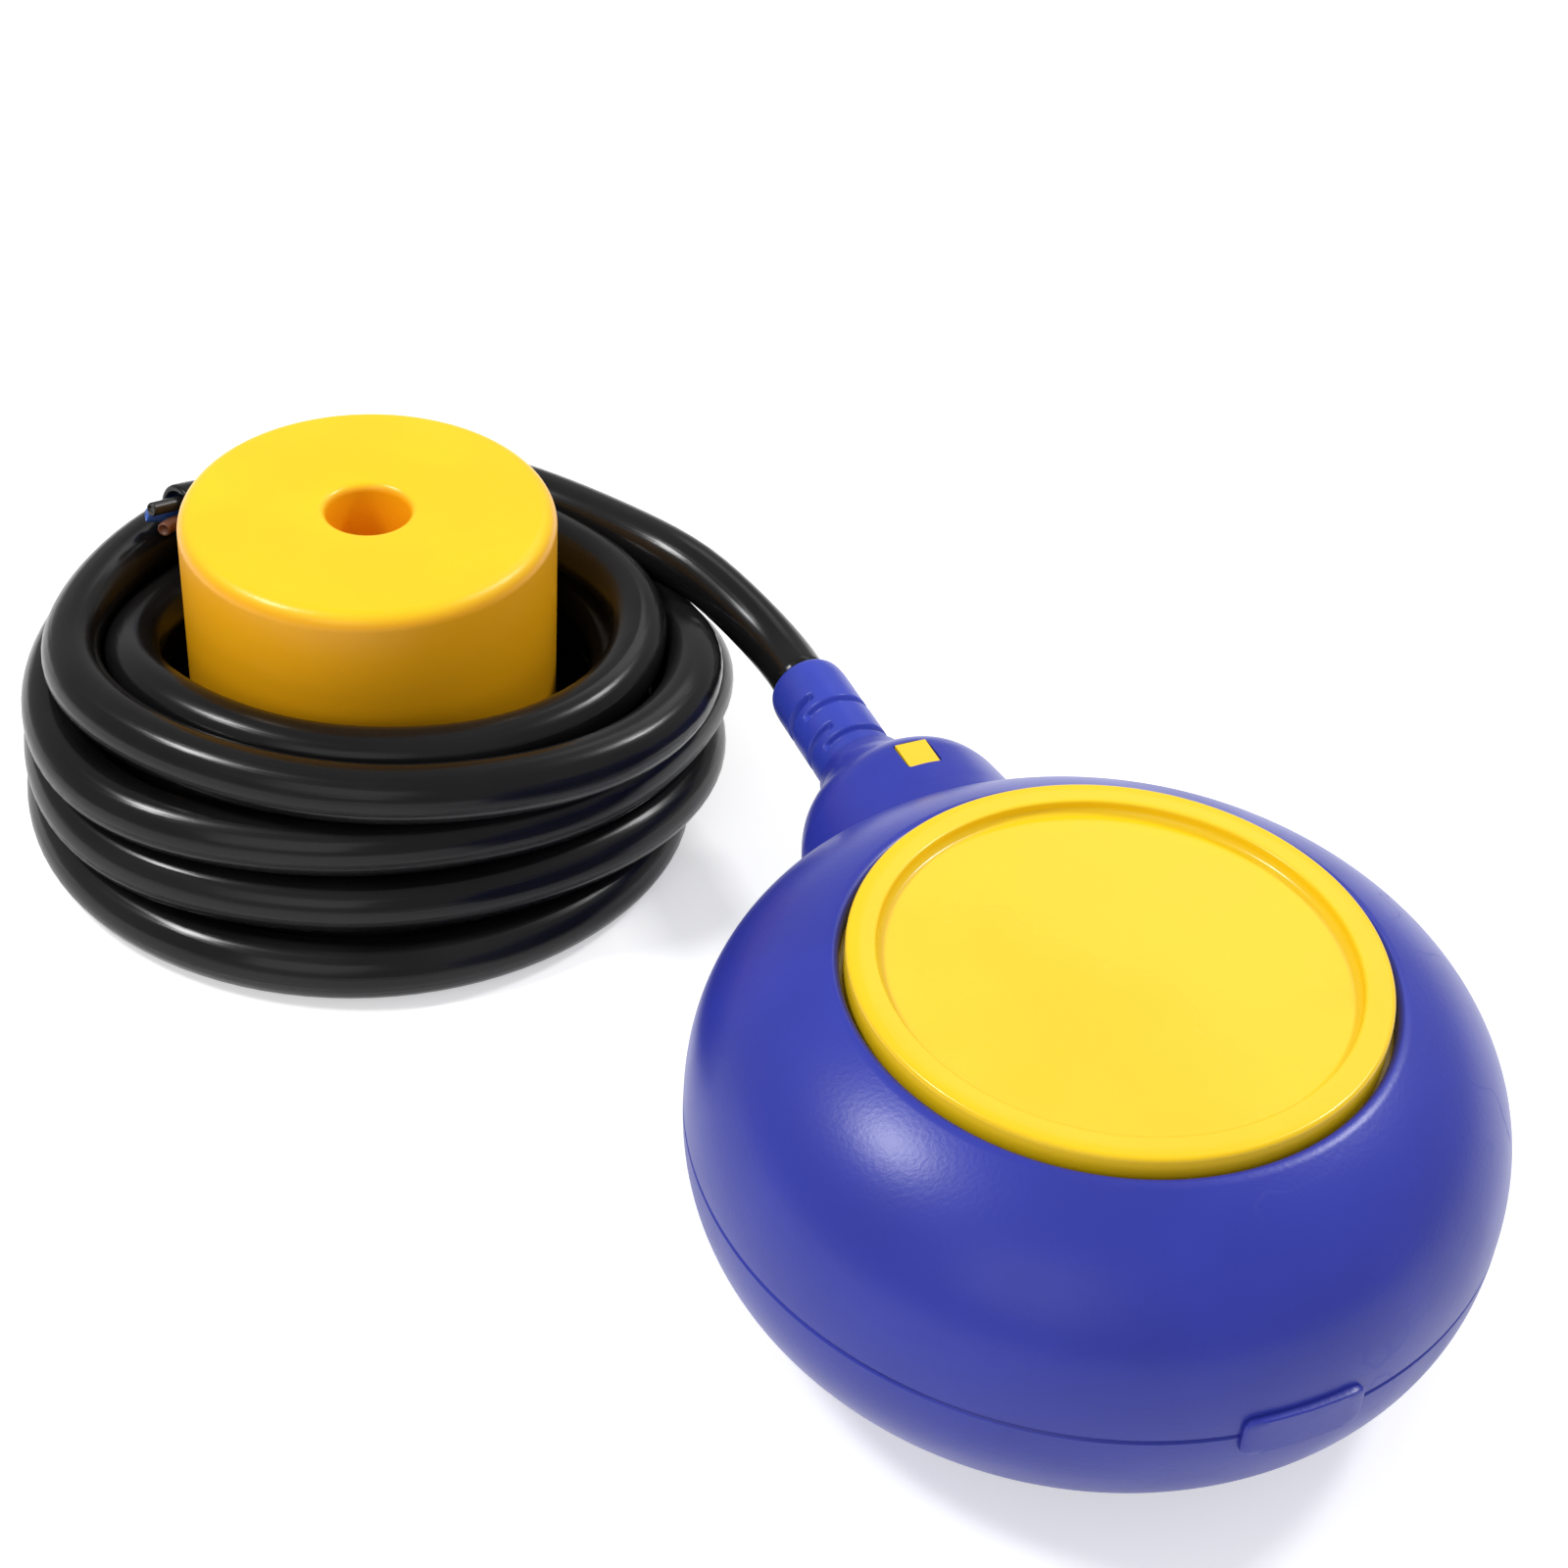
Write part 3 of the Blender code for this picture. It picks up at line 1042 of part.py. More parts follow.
def build():
    clear_scene()
    body = empty("float_frame", (*BODY_CENTRE, FACE_HEIGHT))
    float_body(body)
    upper_capsule(body)
    lower_capsule(body)
    capsule_seal(body)
    neck_bush(body)
    cable_seal(body)
    gland_nut(body)
    strain_relief_boot(body)
    cable_inner(body)
    switch_carrier(body)
    track_cover(body)
    steel_ball(body)
    trip_lever(body)
    lever_pin(body)
    microswitch_case(body)
    microswitch_lid(body)
    switch_plunger(body)
    contact_blade(body)
    terminals(body)
    wiring(body)
    cord_clamp(body)
    fasteners(body)
    counterweight(empty("weight_frame", (*WEIGHT_CENTRE, 0)))
    coil = empty("coil_frame", (*COIL_CENTRE, 0))
    cable_coil(coil)
    cable_tail(coil)
    cable_lead()


build()
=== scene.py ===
"""Looks of a cable float switch: a ring float round a sealed capsule, its boot, the coiled cable
and a counterweight."""

import math

import bpy
import numpy as np
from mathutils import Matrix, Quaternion, Vector


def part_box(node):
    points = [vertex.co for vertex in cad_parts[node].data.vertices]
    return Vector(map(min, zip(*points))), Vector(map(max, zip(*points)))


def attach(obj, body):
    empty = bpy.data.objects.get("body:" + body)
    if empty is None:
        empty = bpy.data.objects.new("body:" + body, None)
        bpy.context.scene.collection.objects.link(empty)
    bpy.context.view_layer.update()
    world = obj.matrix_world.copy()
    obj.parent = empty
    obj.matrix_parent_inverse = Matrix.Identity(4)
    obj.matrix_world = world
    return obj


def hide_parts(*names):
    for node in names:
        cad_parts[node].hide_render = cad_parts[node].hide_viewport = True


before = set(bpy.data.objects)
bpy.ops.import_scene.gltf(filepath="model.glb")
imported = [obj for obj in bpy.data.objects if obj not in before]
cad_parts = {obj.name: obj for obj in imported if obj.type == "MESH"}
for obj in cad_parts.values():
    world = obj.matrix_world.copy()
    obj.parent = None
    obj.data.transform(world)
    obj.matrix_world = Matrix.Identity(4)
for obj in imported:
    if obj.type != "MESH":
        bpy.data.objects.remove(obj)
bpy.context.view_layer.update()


# Camera. It looks down on the float from the side of its seam plate and a little from its left, so
# that the neck and the cable run away to the upper left of the picture.
CAMERA_FROM_FLOAT = (-0.14962, -0.21472, 0.28676)
AIM_FROM_FLOAT = (-0.00844, 0.08126, 0.02000)
CAMERA_LENS = 65.25
CAMERA_SENSOR = 36
CAMERA_TILT = math.radians(4.34)
capsule_low, capsule_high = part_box("upper_capsule")
float_x = (capsule_low.x + capsule_high.x) / 2
float_y = (capsule_low.y + capsule_high.y) / 2
float_foot = Vector((float_x, float_y, 0))
eye = float_foot + Vector(CAMERA_FROM_FLOAT)
aim = float_foot + Vector(AIM_FROM_FLOAT)
lens_data = bpy.data.cameras.new("camera")
lens_data.lens = CAMERA_LENS
lens_data.sensor_width = CAMERA_SENSOR
lens_data.clip_start = 0.01
camera = bpy.data.objects.new("camera", lens_data)
bpy.context.collection.objects.link(camera)
camera.location = eye
tilt = Quaternion((0, 0, 1), CAMERA_TILT)
camera.rotation_euler = ((aim - eye).to_track_quat("-Z", "Y") @ tilt).to_euler()
bpy.context.scene.camera = camera


# Cable. A rubber-sheathed three-core lead, extruded round and left with a glossy skin. It leaves
# the boot, bends on to the coil, winds down its outside, in along the floor and up again beside the
# counterweight, and ends on top, cut off.
CABLE_DIAMETER = 0.0086
CABLE_SPACING = 0.0030
DEGREES_APART = 3.0
SETTLING_ROUNDS = 220
BEND_SHARE = 0.30
PUSH_SHARE = 0.30
STRETCH_SHARE = 0.2
CONTACT_DISTANCE = CABLE_DIAMETER * 1.004
WEIGHT_CLEARANCE = 0.0002
cable_radius = CABLE_DIAMETER / 2
boot_low, boot_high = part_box("strain_relief_boot")
weight_low, weight_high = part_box("counterweight")
weight_centre = np.array([(weight_low.x + weight_high.x) / 2, (weight_low.y + weight_high.y) / 2])
weight_radius = (weight_high.x - weight_low.x) / 2
neck_height = (boot_low.z + boot_high.z) / 2
cable_exit = np.array([float_x, boot_high.y - 0.0016, neck_height])

# The lead's points in millimetres from the exit, then the winding as it lies: how far it has turned
# in degrees, and its distance from the counterweight's axis and its height, in millimetres.
LEAD = (
    (0, 0, 0), (0, 7.9, 0), (-0.8, 13.4, 0.5), (-2.8, 18.7, 1.5), (-5.4, 23.7, 2.9),
    (-8.5, 28.9, 4.0), (-11.9, 35.4, 4.1), (-15.5, 41.6, 4.1), (-20.0, 46.7, 4.1),
)
TOP_TURN = (
    (36, 40.0, 31), (75, 39.6, 30.5), (115, 40.6, 29.5), (145, 42.3, 29.0), (158, 43.3, 29.5),
    (170, 44.8, 30), (181, 45.6, 30.5), (192, 44.8, 30.7), (205, 42.5, 30.7), (228, 41.5, 30.7),
    (248, 42.6, 30.7), (266, 44.0, 30.7), (284, 46.4, 30.4), (301, 49.3, 29.5), (320, 50.4, 27.6),
    (334, 49.5, 25.6), (346, 48.0, 23.6),
)
SECOND_TURN = (
    (360, 47.0, 22.2), (400, 46.0, 21.9), (450, 45.0, 21.9), (500, 46.3, 21.9), (529, 48.2, 21.9),
    (541, 49.3, 21.9), (553, 49.8, 21.9), (562, 49.4, 21.9), (573, 48.4, 21.9), (590, 45.0, 21.9),
    (608, 43.0, 21.9), (630, 43.5, 21.9), (655, 46.3, 21.4), (680, 49.4, 20), (700, 50.2, 17.6),
    (716, 49.6, 15.2),
)
THIRD_TURN = (
    (735, 47.2, 13.3), (780, 46.8, 13.1), (840, 47.4, 13.1), (880, 48.6, 13.1), (904, 49.6, 13.1),
    (917, 50.2, 13.1), (930, 49.6, 13.1), (948, 47.4, 13.1), (968, 45.0, 13.1), (990, 45.4, 13.1),
    (1012, 47.8, 13.0), (1034, 49.9, 12.9), (1054, 49.6, 12.5), (1070, 48.2, 11.2),
    (1090, 47.8, 9.0), (1110, 47.6, 6.5), (1130, 47.6, 4.6),
)
BOTTOM_TURNS = (
    (1170, 47.6, 4.3), (1220, 48.2, 4.3), (1262, 50.0, 4.3), (1285, 50.9, 4.3), (1318, 50.8, 4.3),
    (1350, 49.9, 4.3), (1369, 49.0, 4.3), (1388, 48.2, 4.3), (1412, 46.6, 4.3), (1430, 43.2, 4.3),
    (1450, 40.4, 4.3), (1470, 39.4, 4.3), (1530, 39.2, 4.3), (1570, 39.0, 4.3), (1610, 39.8, 4.3),
    (1660, 41.6, 4.3), (1710, 41.4, 4.3), (1750, 39.4, 4.3), (1790, 35.4, 4.3), (1830, 32.8, 4.3),
    (1900, 32.6, 4.3),
)
INNER_TURNS = (
    (1940, 32.8, 4.8), (1970, 34.5, 8.5), (2000, 37.2, 12.6), (2030, 38.6, 13.1),
    (2080, 38.0, 13.1), (2140, 39.4, 13.1), (2200, 38.0, 13.1), (2260, 37.2, 13.1),
    (2300, 38.0, 13.6), (2330, 39.2, 17.5), (2360, 39.8, 21.4), (2400, 36.2, 21.9),
    (2440, 35.4, 21.9), (2500, 37.6, 21.9), (2550, 35.4, 21.9), (2600, 34.2, 22.0),
    (2640, 34.4, 22.2), (2660, 34.8, 23.0), (2680, 35.6, 25.8), (2700, 36.4, 29.0),
    (2716, 36.2, 30.3), (2732, 35.0, 30.4), (2770, 33.0, 29.8), (2811, 37.4, 29.6),
    (2840, 40.6, 30.0), (2861, 40.6, 30.7), (2880, 37.8, 31.2), (2902, 34.4, 31.5),
    (2930, 32.6, 31.5), (2970, 32.5, 31.6), (2985, 32.8, 32.6), (2998, 34.0, 34.4),
    (3010, 36.8, 36.4),
)


def evened_out(values):
    """Each value becomes the mean of itself and its three neighbours on both sides, with weights
    that fall off as a raised cosine. The end values are repeated past the ends."""
    bell = np.hanning(9)[1:-1]
    return np.convolve(np.pad(values, 3, mode="edge"), bell / bell.sum(), mode="valid")


def wound_path():
    """The lead's points, then points every few degrees of the winding, at its axis plus the
    distance times the cosine and the sine of the turn. Distance and height are read off between the
    stations and evened out."""
    stations = np.array(TOP_TURN + SECOND_TURN + THIRD_TURN + BOTTOM_TURNS + INNER_TURNS, float)
    degrees = np.arange(stations[0, 0], stations[-1, 0] + 0.1, DEGREES_APART)
    distance, height = (
        evened_out(np.interp(degrees, stations[:, 0], stations[:, column])) / 1000
        for column in (1, 2)
    )
    turn = np.radians(degrees)
    x = weight_centre[0] + distance * np.cos(turn)
    y = weight_centre[1] + distance * np.sin(turn)
    return np.concatenate([cable_exit + np.array(LEAD) / 1000, np.stack([x, y, height], axis=1)])


def evenly(path, spacing):
    """The same path with its points an even distance apart, read off along its own length."""
    runs = np.concatenate([[0], np.cumsum(np.linalg.norm(np.diff(path, axis=0), axis=1))])
    at = np.linspace(0, runs[-1], int(round(runs[-1] / spacing)) + 1)
    return np.stack([np.interp(at, runs, path[:, k]) for k in range(3)], axis=1)


def settled(path, spacing):
    """The path relaxed as a real cable would lie: each round evens its bends, pushes apart what
    comes closer than a diameter to itself, the counterweight or the floor, and keeps its points
    evenly apart. Its ends stay."""
    path = evenly(path, spacing)
    start, end = path[:3].copy(), path[-4:].copy()
    apart = int(math.ceil(2.2 * CABLE_DIAMETER / spacing))
    for step in range(SETTLING_ROUNDS):
        if step % 10 == 0:
            gaps = np.linalg.norm(path[:, None] - path[None], axis=2)
            first, second = np.nonzero(np.triu(gaps < 1.5 * CABLE_DIAMETER, apart))
        bend = np.zeros_like(path)
        bend[2:-2] = (4 * (path[1:-3] + path[3:-1]) - path[:-4] - path[4:]) / 6 - path[2:-2]
        path = path + BEND_SHARE * bend
        for _ in range(3):
            way = path[first] - path[second]
            gap = np.linalg.norm(way, axis=1)
            push = np.maximum(0, CONTACT_DISTANCE - gap) / np.maximum(gap, 1e-6) * PUSH_SHARE
            move = way * push[:, None]
            shift = np.zeros_like(path)
            np.add.at(shift, first, move)
            np.add.at(shift, second, -move)
            path = path + shift
            off = path[:, :2] - weight_centre
            out = np.linalg.norm(off, axis=1)
            wide = np.maximum(out, weight_radius + cable_radius + WEIGHT_CLEARANCE)
            path[:, :2] = weight_centre + off * (wide / out)[:, None]
            path[:, 2] = np.maximum(path[:, 2], cable_radius)
        ahead = np.diff(path, axis=0)
        lengths = np.linalg.norm(ahead, axis=1, keepdims=True)
        stretch = (lengths / spacing - 1) * STRETCH_SHARE
        path[:-1] += ahead * stretch
        path[1:] -= ahead * stretch
        path[:3], path[-4:] = start, end
    path[:, 2] = np.maximum(path[:, 2], cable_radius)
    return path


def grid_mesh(name, grid, wrap=(False, True), lengths=None):
    """A mesh of quads between the neighbouring points of a grid of rows and columns. A wrapped
    direction joins its last line to its first. Where the rows don't wrap, each end row is closed by
    a fan round its middle. Faces are turned so that they enclose a positive volume. Lengths along
    the rows go into a UV map against the share of the way round."""
    rows, columns = grid.shape[:2]
    index = np.arange(rows * columns).reshape(rows, columns)
    if wrap[0]:
        index = np.concatenate([index, index[:1]], axis=0)
    if wrap[1]:
        index = np.concatenate([index, index[:, :1]], axis=1)
    row, next_row = index[:-1], index[1:]
    quads = np.stack([row[:, :-1], row[:, 1:], next_row[:, 1:], next_row[:, :-1]], axis=2)
    quads = quads.reshape(-1, 4)
    points = grid.reshape(-1, 3)
    fans = np.zeros((0, 3), int)
    if not wrap[0]:
        middles = [len(points), len(points) + 1]
        points = np.concatenate([points, [grid[0].mean(axis=0)], [grid[-1].mean(axis=0)]])
        first = np.stack([index[0, 1:], index[0, :-1], np.full(columns, middles[0])], axis=1)
        last = np.stack([index[-1, :-1], index[-1, 1:], np.full(columns, middles[1])], axis=1)
        fans = np.concatenate([first, last])
    triangles = np.concatenate([quads[:, [0, 1, 2]], quads[:, [0, 2, 3]], fans])
    a, b, c = (points[triangles[:, k]] - points[0] for k in range(3))
    if np.einsum("ij,ij->i", a, np.cross(b, c)).sum() < 0:
        quads, fans = quads[:, ::-1], fans[:, ::-1]
    corners = np.concatenate([quads.ravel(), fans.ravel()]).astype(np.int32)
    sizes = np.concatenate([np.full(len(quads), 4), np.full(len(fans), 3)])
    starts = np.concatenate([[0], np.cumsum(sizes)[:-1]]).astype(np.int32)
    mesh = bpy.data.meshes.new(name)
    mesh.vertices.add(len(points))
    mesh.loops.add(len(corners))
    mesh.polygons.add(len(sizes))
    mesh.vertices.foreach_set("co", points.astype(np.float32).ravel())
    mesh.loops.foreach_set("vertex_index", corners)
    mesh.polygons.foreach_set("loop_start", starts)
    if lengths is not None:
        row_of = np.minimum(corners // columns, rows - 1)
        places = np.stack([lengths[row_of], (corners % columns) / columns], axis=1)
        layer = mesh.uv_layers.new(name="along")
        layer.data.foreach_set("uv", places.astype(np.float32).ravel())
    mesh.update(calc_edges=True)
    mesh.shade_smooth()
    piece = bpy.data.objects.new(name, mesh)
    bpy.context.collection.objects.link(piece)
    return piece


def tube(name, path, radius, sides, end_rows, start_rows=((0.0, 1.0),)):
    """A round tube along a path that never stands upright. Each ring lies across the path's
    direction, on a level sideways axis and the axis square to both. The first and last rings are
    replaced by rows of their own, each set back along the path from its end, with its share of the
    radius."""
    ahead = np.gradient(path, axis=0)
    ahead /= np.linalg.norm(ahead, axis=1, keepdims=True)
    path_rows = [path[0] + ahead[0] * back for back, _ in start_rows]
    path_rows += list(path[1:-1])
    path_rows += [path[-1] - ahead[-1] * back for back, _ in end_rows]
    radii = [radius * share for _, share in start_rows] + [radius] * (len(path) - 2)
    radii += [radius * share for _, share in end_rows]
    ways = np.concatenate([[ahead[0]] * len(start_rows), ahead[1:-1], [ahead[-1]] * len(end_rows)])
    middles = np.array(path_rows)
    side = np.cross(ways, [0, 0, 1])
    side /= np.linalg.norm(side, axis=1, keepdims=True)
    up = np.cross(side, ways)
    turn = np.linspace(0, 2 * np.pi, sides, endpoint=False)
    spoke = side[:, None] * np.cos(turn)[None, :, None] + up[:, None] * np.sin(turn)[None, :, None]
    grid = middles[:, None] + spoke * np.array(radii)[:, None, None]
    runs = np.concatenate([[0], np.cumsum(np.linalg.norm(np.diff(middles, axis=0), axis=1))])
    return grid_mesh(name, grid, lengths=runs)


# The cable's cut end: its edge, the sheath's thickness, and the hollow that the cores come out of.
CUT_END = ((0.0006, 1.0), (0.0002, 0.985), (0.0, 0.94), (0.0, 0.76), (0.0003, 0.72), (0.0012, 0.71))

cable_path = settled(wound_path(), CABLE_SPACING)
cable_piece = tube("cable", cable_path, cable_radius, 32, CUT_END, ((0.0, 1.012),))


def new_material(name, **sockets):
    """A node material with the given values set on its Principled BSDF's own sockets."""
    made = bpy.data.materials.new(name)
    made.use_nodes = True
    shader = made.node_tree.nodes["Principled BSDF"]
    for socket, value in sockets.items():
        shader.inputs[socket.replace("_", " ")].default_value = value
    return made, made.node_tree, shader


def noise(tree, scale, detail, vector):
    """The value of a noise texture of the given scale, read at the given coordinates."""
    made = tree.nodes.new("ShaderNodeTexNoise")
    made.inputs["Scale"].default_value = scale
    made.inputs["Detail"].default_value = detail
    tree.links.new(vector, made.inputs["Vector"])
    return made.outputs["Fac"]


def spread(tree, value, low, high, to_low, to_high):
    """The value's range from low to high carried over smoothly to another range."""
    made = tree.nodes.new("ShaderNodeMapRange")
    made.interpolation_type = "SMOOTHSTEP"
    tree.links.new(value, made.inputs["Value"])
    for socket, number in zip(("From Min", "From Max", "To Min", "To Max"), (low, high, to_low, to_high)):
        made.inputs[socket].default_value = number
    return made.outputs["Result"]


def blended(tree, share, first, second):
    """A colour mixed from two by a share, where each colour is either a value or another node's
    output."""
    made = tree.nodes.new("ShaderNodeMix")
    made.data_type = "RGBA"
    tree.links.new(share, made.inputs[0])
    for socket, colour in ((made.inputs[6], first), (made.inputs[7], second)):
        if isinstance(colour, tuple):
            socket.default_value = (*colour, 1)
        else:
            tree.links.new(colour, socket)
    return made.outputs[2]


def bumped(tree, height, distance):
    """The surface's normal after a height pressed into it to a depth in metres."""
    made = tree.nodes.new("ShaderNodeBump")
    made.inputs["Distance"].default_value = distance
    tree.links.new(height, made.inputs["Height"])
    return made.outputs["Normal"]


sheath, tree, shader = new_material("cable sheath", Specular_IOR_Level=0.26)
along = tree.nodes.new("ShaderNodeUVMap")
along.uv_map = "along"
stretched = tree.nodes.new("ShaderNodeMapping")
stretched.inputs["Scale"].default_value = (22, 26, 1)
tree.links.new(along.outputs["UV"], stretched.inputs["Vector"])
streaks = noise(tree, 1.0, 4, stretched.outputs["Vector"])
place = tree.nodes.new("ShaderNodeTexCoord")
haze = noise(tree, 45, 3, place.outputs["Object"])
hazy = spread(tree, haze, 0.35, 0.7, 0, 1)
sheath_black = blended(tree, hazy, (0.0050, 0.0050, 0.0056), (0.0095, 0.0093, 0.0098))
tree.links.new(sheath_black, shader.inputs["Base Color"])
tree.links.new(spread(tree, streaks, 0.3, 0.7, 0.15, 0.26), shader.inputs["Roughness"])
tree.links.new(bumped(tree, streaks, 0.00006), shader.inputs["Normal"])
cable_piece.data.materials.append(sheath)
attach(cable_piece, "shell")
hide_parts("cable_coil", "cable_lead", "cable_tail")


# Cores. Three stranded copper wires in brown, blue and black insulation, bared of the sheath for a
# few millimetres at the free end, where they are cut off square and spread a little.
CORE_RADIUS = 0.0011
CORE_LENGTH = 0.0045
CORE_END = ((0.0003, 1.0), (0.0, 0.9), (0.0, 0.62), (0.0002, 0.6))
cable_way = cable_path[-1] - cable_path[-2]
cable_way /= np.linalg.norm(cable_way)
cable_side = np.cross(cable_way, [0, 0, 1])
cable_side /= np.linalg.norm(cable_side)

# Each core's name, colour, place aside and above the cable's middle, and share of the full length.
CORES = (
    ("brown", (0.150, 0.050, 0.022), -0.0014, -0.0008, 1.00),
    ("blue", (0.030, 0.120, 0.520), 0.0014, -0.0008, 0.92),
    ("black", (0.012, 0.012, 0.012), 0.0000, 0.0016, 1.06),
)


def new_group(name, inputs, outputs):
    """A node group with sockets of the given names and kinds. It gives the group, what comes in and
    what goes out."""
    group = bpy.data.node_groups.new(name, "ShaderNodeTree")
    for way, sockets in (("INPUT", inputs), ("OUTPUT", outputs)):
        for socket, kind in sockets.items():
            group.interface.new_socket(name=socket, in_out=way, socket_type=f"NodeSocket{kind}")
    given = group.nodes.new("NodeGroupInput")
    result = group.nodes.new("NodeGroupOutput")
    return group, given.outputs, result.inputs


def placed(tree, group, **values):
    """A node group placed in a material, with values for its inputs. It gives the group's
    outputs."""
    made = tree.nodes.new("ShaderNodeGroup")
    made.node_tree = group
    for socket, value in values.items():
        made.inputs[socket].default_value = value
    return made.outputs


def mottle_group():
    """A node group for the insulation: one colour mottled finely with a darker one."""
    group, given, result = new_group(
        "insulation mottle", {"Colour": "Color", "Darker": "Color"}, {"Colour": "Color"},
    )
    place = group.nodes.new("ShaderNodeTexCoord").outputs["Object"]
    mottle = spread(group, noise(group, 400, 3, place), 0.3, 0.7, 0, 1)
    group.links.new(blended(group, mottle, given["Darker"], given["Colour"]), result["Colour"])
    return group


insulation_skin = mottle_group()
core_pieces = []
for core_name, core_colour, core_aside, core_up, core_share in CORES:
    reach = np.linspace(-0.0010, CORE_LENGTH * core_share, 14)[:, None]
    splay = np.maximum(0, reach / CORE_LENGTH) ** 2
    core_root = cable_path[-1] + cable_side * core_aside + np.array([0, 0, core_up])
    core_path = core_root + cable_way * reach + cable_side * core_aside * 0.9 * splay
    core = tube(f"core_{core_name}", core_path, CORE_RADIUS, 20, CORE_END)
    insulation, tree, shader = new_material(f"{core_name} insulation", Roughness=0.38)
    darker = (0.7 * part for part in core_colour)
    skin = placed(tree, insulation_skin, Colour=(*core_colour, 1), Darker=(*darker, 1))
    tree.links.new(skin["Colour"], shader.inputs["Base Color"])
    core.data.materials.append(insulation)
    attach(core, "shell")
    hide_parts(f"tail_core_{core_name}")
    core_pieces.append(core)


# Boot. A soft blue plastic sleeve on the cable, moulded in one piece with a flange that sits in the
# neck, and with grooves cut from alternate sides, so that it gives way more and more towards its
# end.
BOOT_START = 0.0613
BOOT_FLANGE_END = 0.0643
BOOT_END = 0.0936
BOOT_FLANGE_RADIUS = 0.0078
BOOT_RADIUS = 0.0060
BOOT_BORE = 0.0046
BOOT_NOSE = 0.0031
GROOVE_DEPTH = 0.0009
GROOVE_HALF_WIDTH = 0.00085
GROOVE_EDGE = 0.0006
GROOVE_HALF_ANGLE = math.radians(106)
GROOVE_END_ANGLE = 0.16

# Each groove's distance from the float's middle, and the side that it is cut from in degrees.
GROOVES = ((0.0757, 42), (0.0785, 222), (0.0830, 42), (0.0857, 222))
float_centre = np.array([float_x, float_y, neck_height])


def rounding(start, corner, end, steps=9):
    """A quarter of an ellipse from start to end that bulges towards the corner: the corner, plus
    the way to start times one minus the sine, plus the way to end times one minus the cosine."""
    turn = np.linspace(0, np.pi / 2, steps)[:, None]
    start, corner, end = np.array(start), np.array(corner), np.array(end)
    return corner + (start - corner) * (1 - np.sin(turn)) + (end - corner) * (1 - np.cos(turn))


def soft_step(value):
    """Zero below nought and one above one. Between them it is three times the square less twice the
    cube."""
    value = np.clip(value, 0, 1)
    return value * value * (3 - 2 * value)


def boot_mesh():
    """The sleeve's section is turned round the neck's axis. Its outside loses the grooves' depth
    wherever a point lies within a groove's width and within its angle of the middle of that
    groove's side, with soft edges both ways."""
    flange, foot, top, end = BOOT_FLANGE_RADIUS, BOOT_START, BOOT_FLANGE_END, BOOT_END
    plain = np.linspace(top + 0.0004, end - BOOT_NOSE, 150)
    nose = rounding((BOOT_RADIUS, end - BOOT_NOSE), (BOOT_RADIUS, end), (BOOT_BORE + 0.0009, end), 14)
    outside = np.concatenate([
        rounding((flange - 0.0006, foot), (flange, foot), (flange, foot + 0.0006), 5),
        rounding((flange, top - 0.0005), (flange, top), (flange - 0.0005, top), 5),
        [(BOOT_RADIUS, top)],
        np.stack([np.full(len(plain), BOOT_RADIUS), plain], axis=1),
        nose[1:],
        rounding((BOOT_BORE + 0.0004, end), (BOOT_BORE, end), (BOOT_BORE, end - 0.0004), 5),
        [(BOOT_BORE, foot)],
    ])
    turn = np.linspace(0, 2 * np.pi, 128, endpoint=False)
    depth = np.zeros((len(outside), len(turn)))
    for middle, facing in GROOVES:
        across = soft_step((GROOVE_HALF_WIDTH - np.abs(outside[:, 1] - middle)) / GROOVE_EDGE)
        side = turn - math.radians(facing)
        reach = np.abs(np.arctan2(np.sin(side), np.cos(side)))
        round_it = soft_step((GROOVE_HALF_ANGLE - reach) / GROOVE_END_ANGLE)
        depth = np.maximum(depth, GROOVE_DEPTH * across[:, None] * round_it[None])
    depth[outside[:, 0] < BOOT_RADIUS - 1e-6] = 0
    radius = outside[:, :1] - depth
    ahead = outside[:, 1:] + 0 * turn
    grid = np.stack([radius * np.cos(turn), ahead, radius * np.sin(turn)], axis=2)
    return grid_mesh("boot", grid + float_centre, wrap=(True, True))


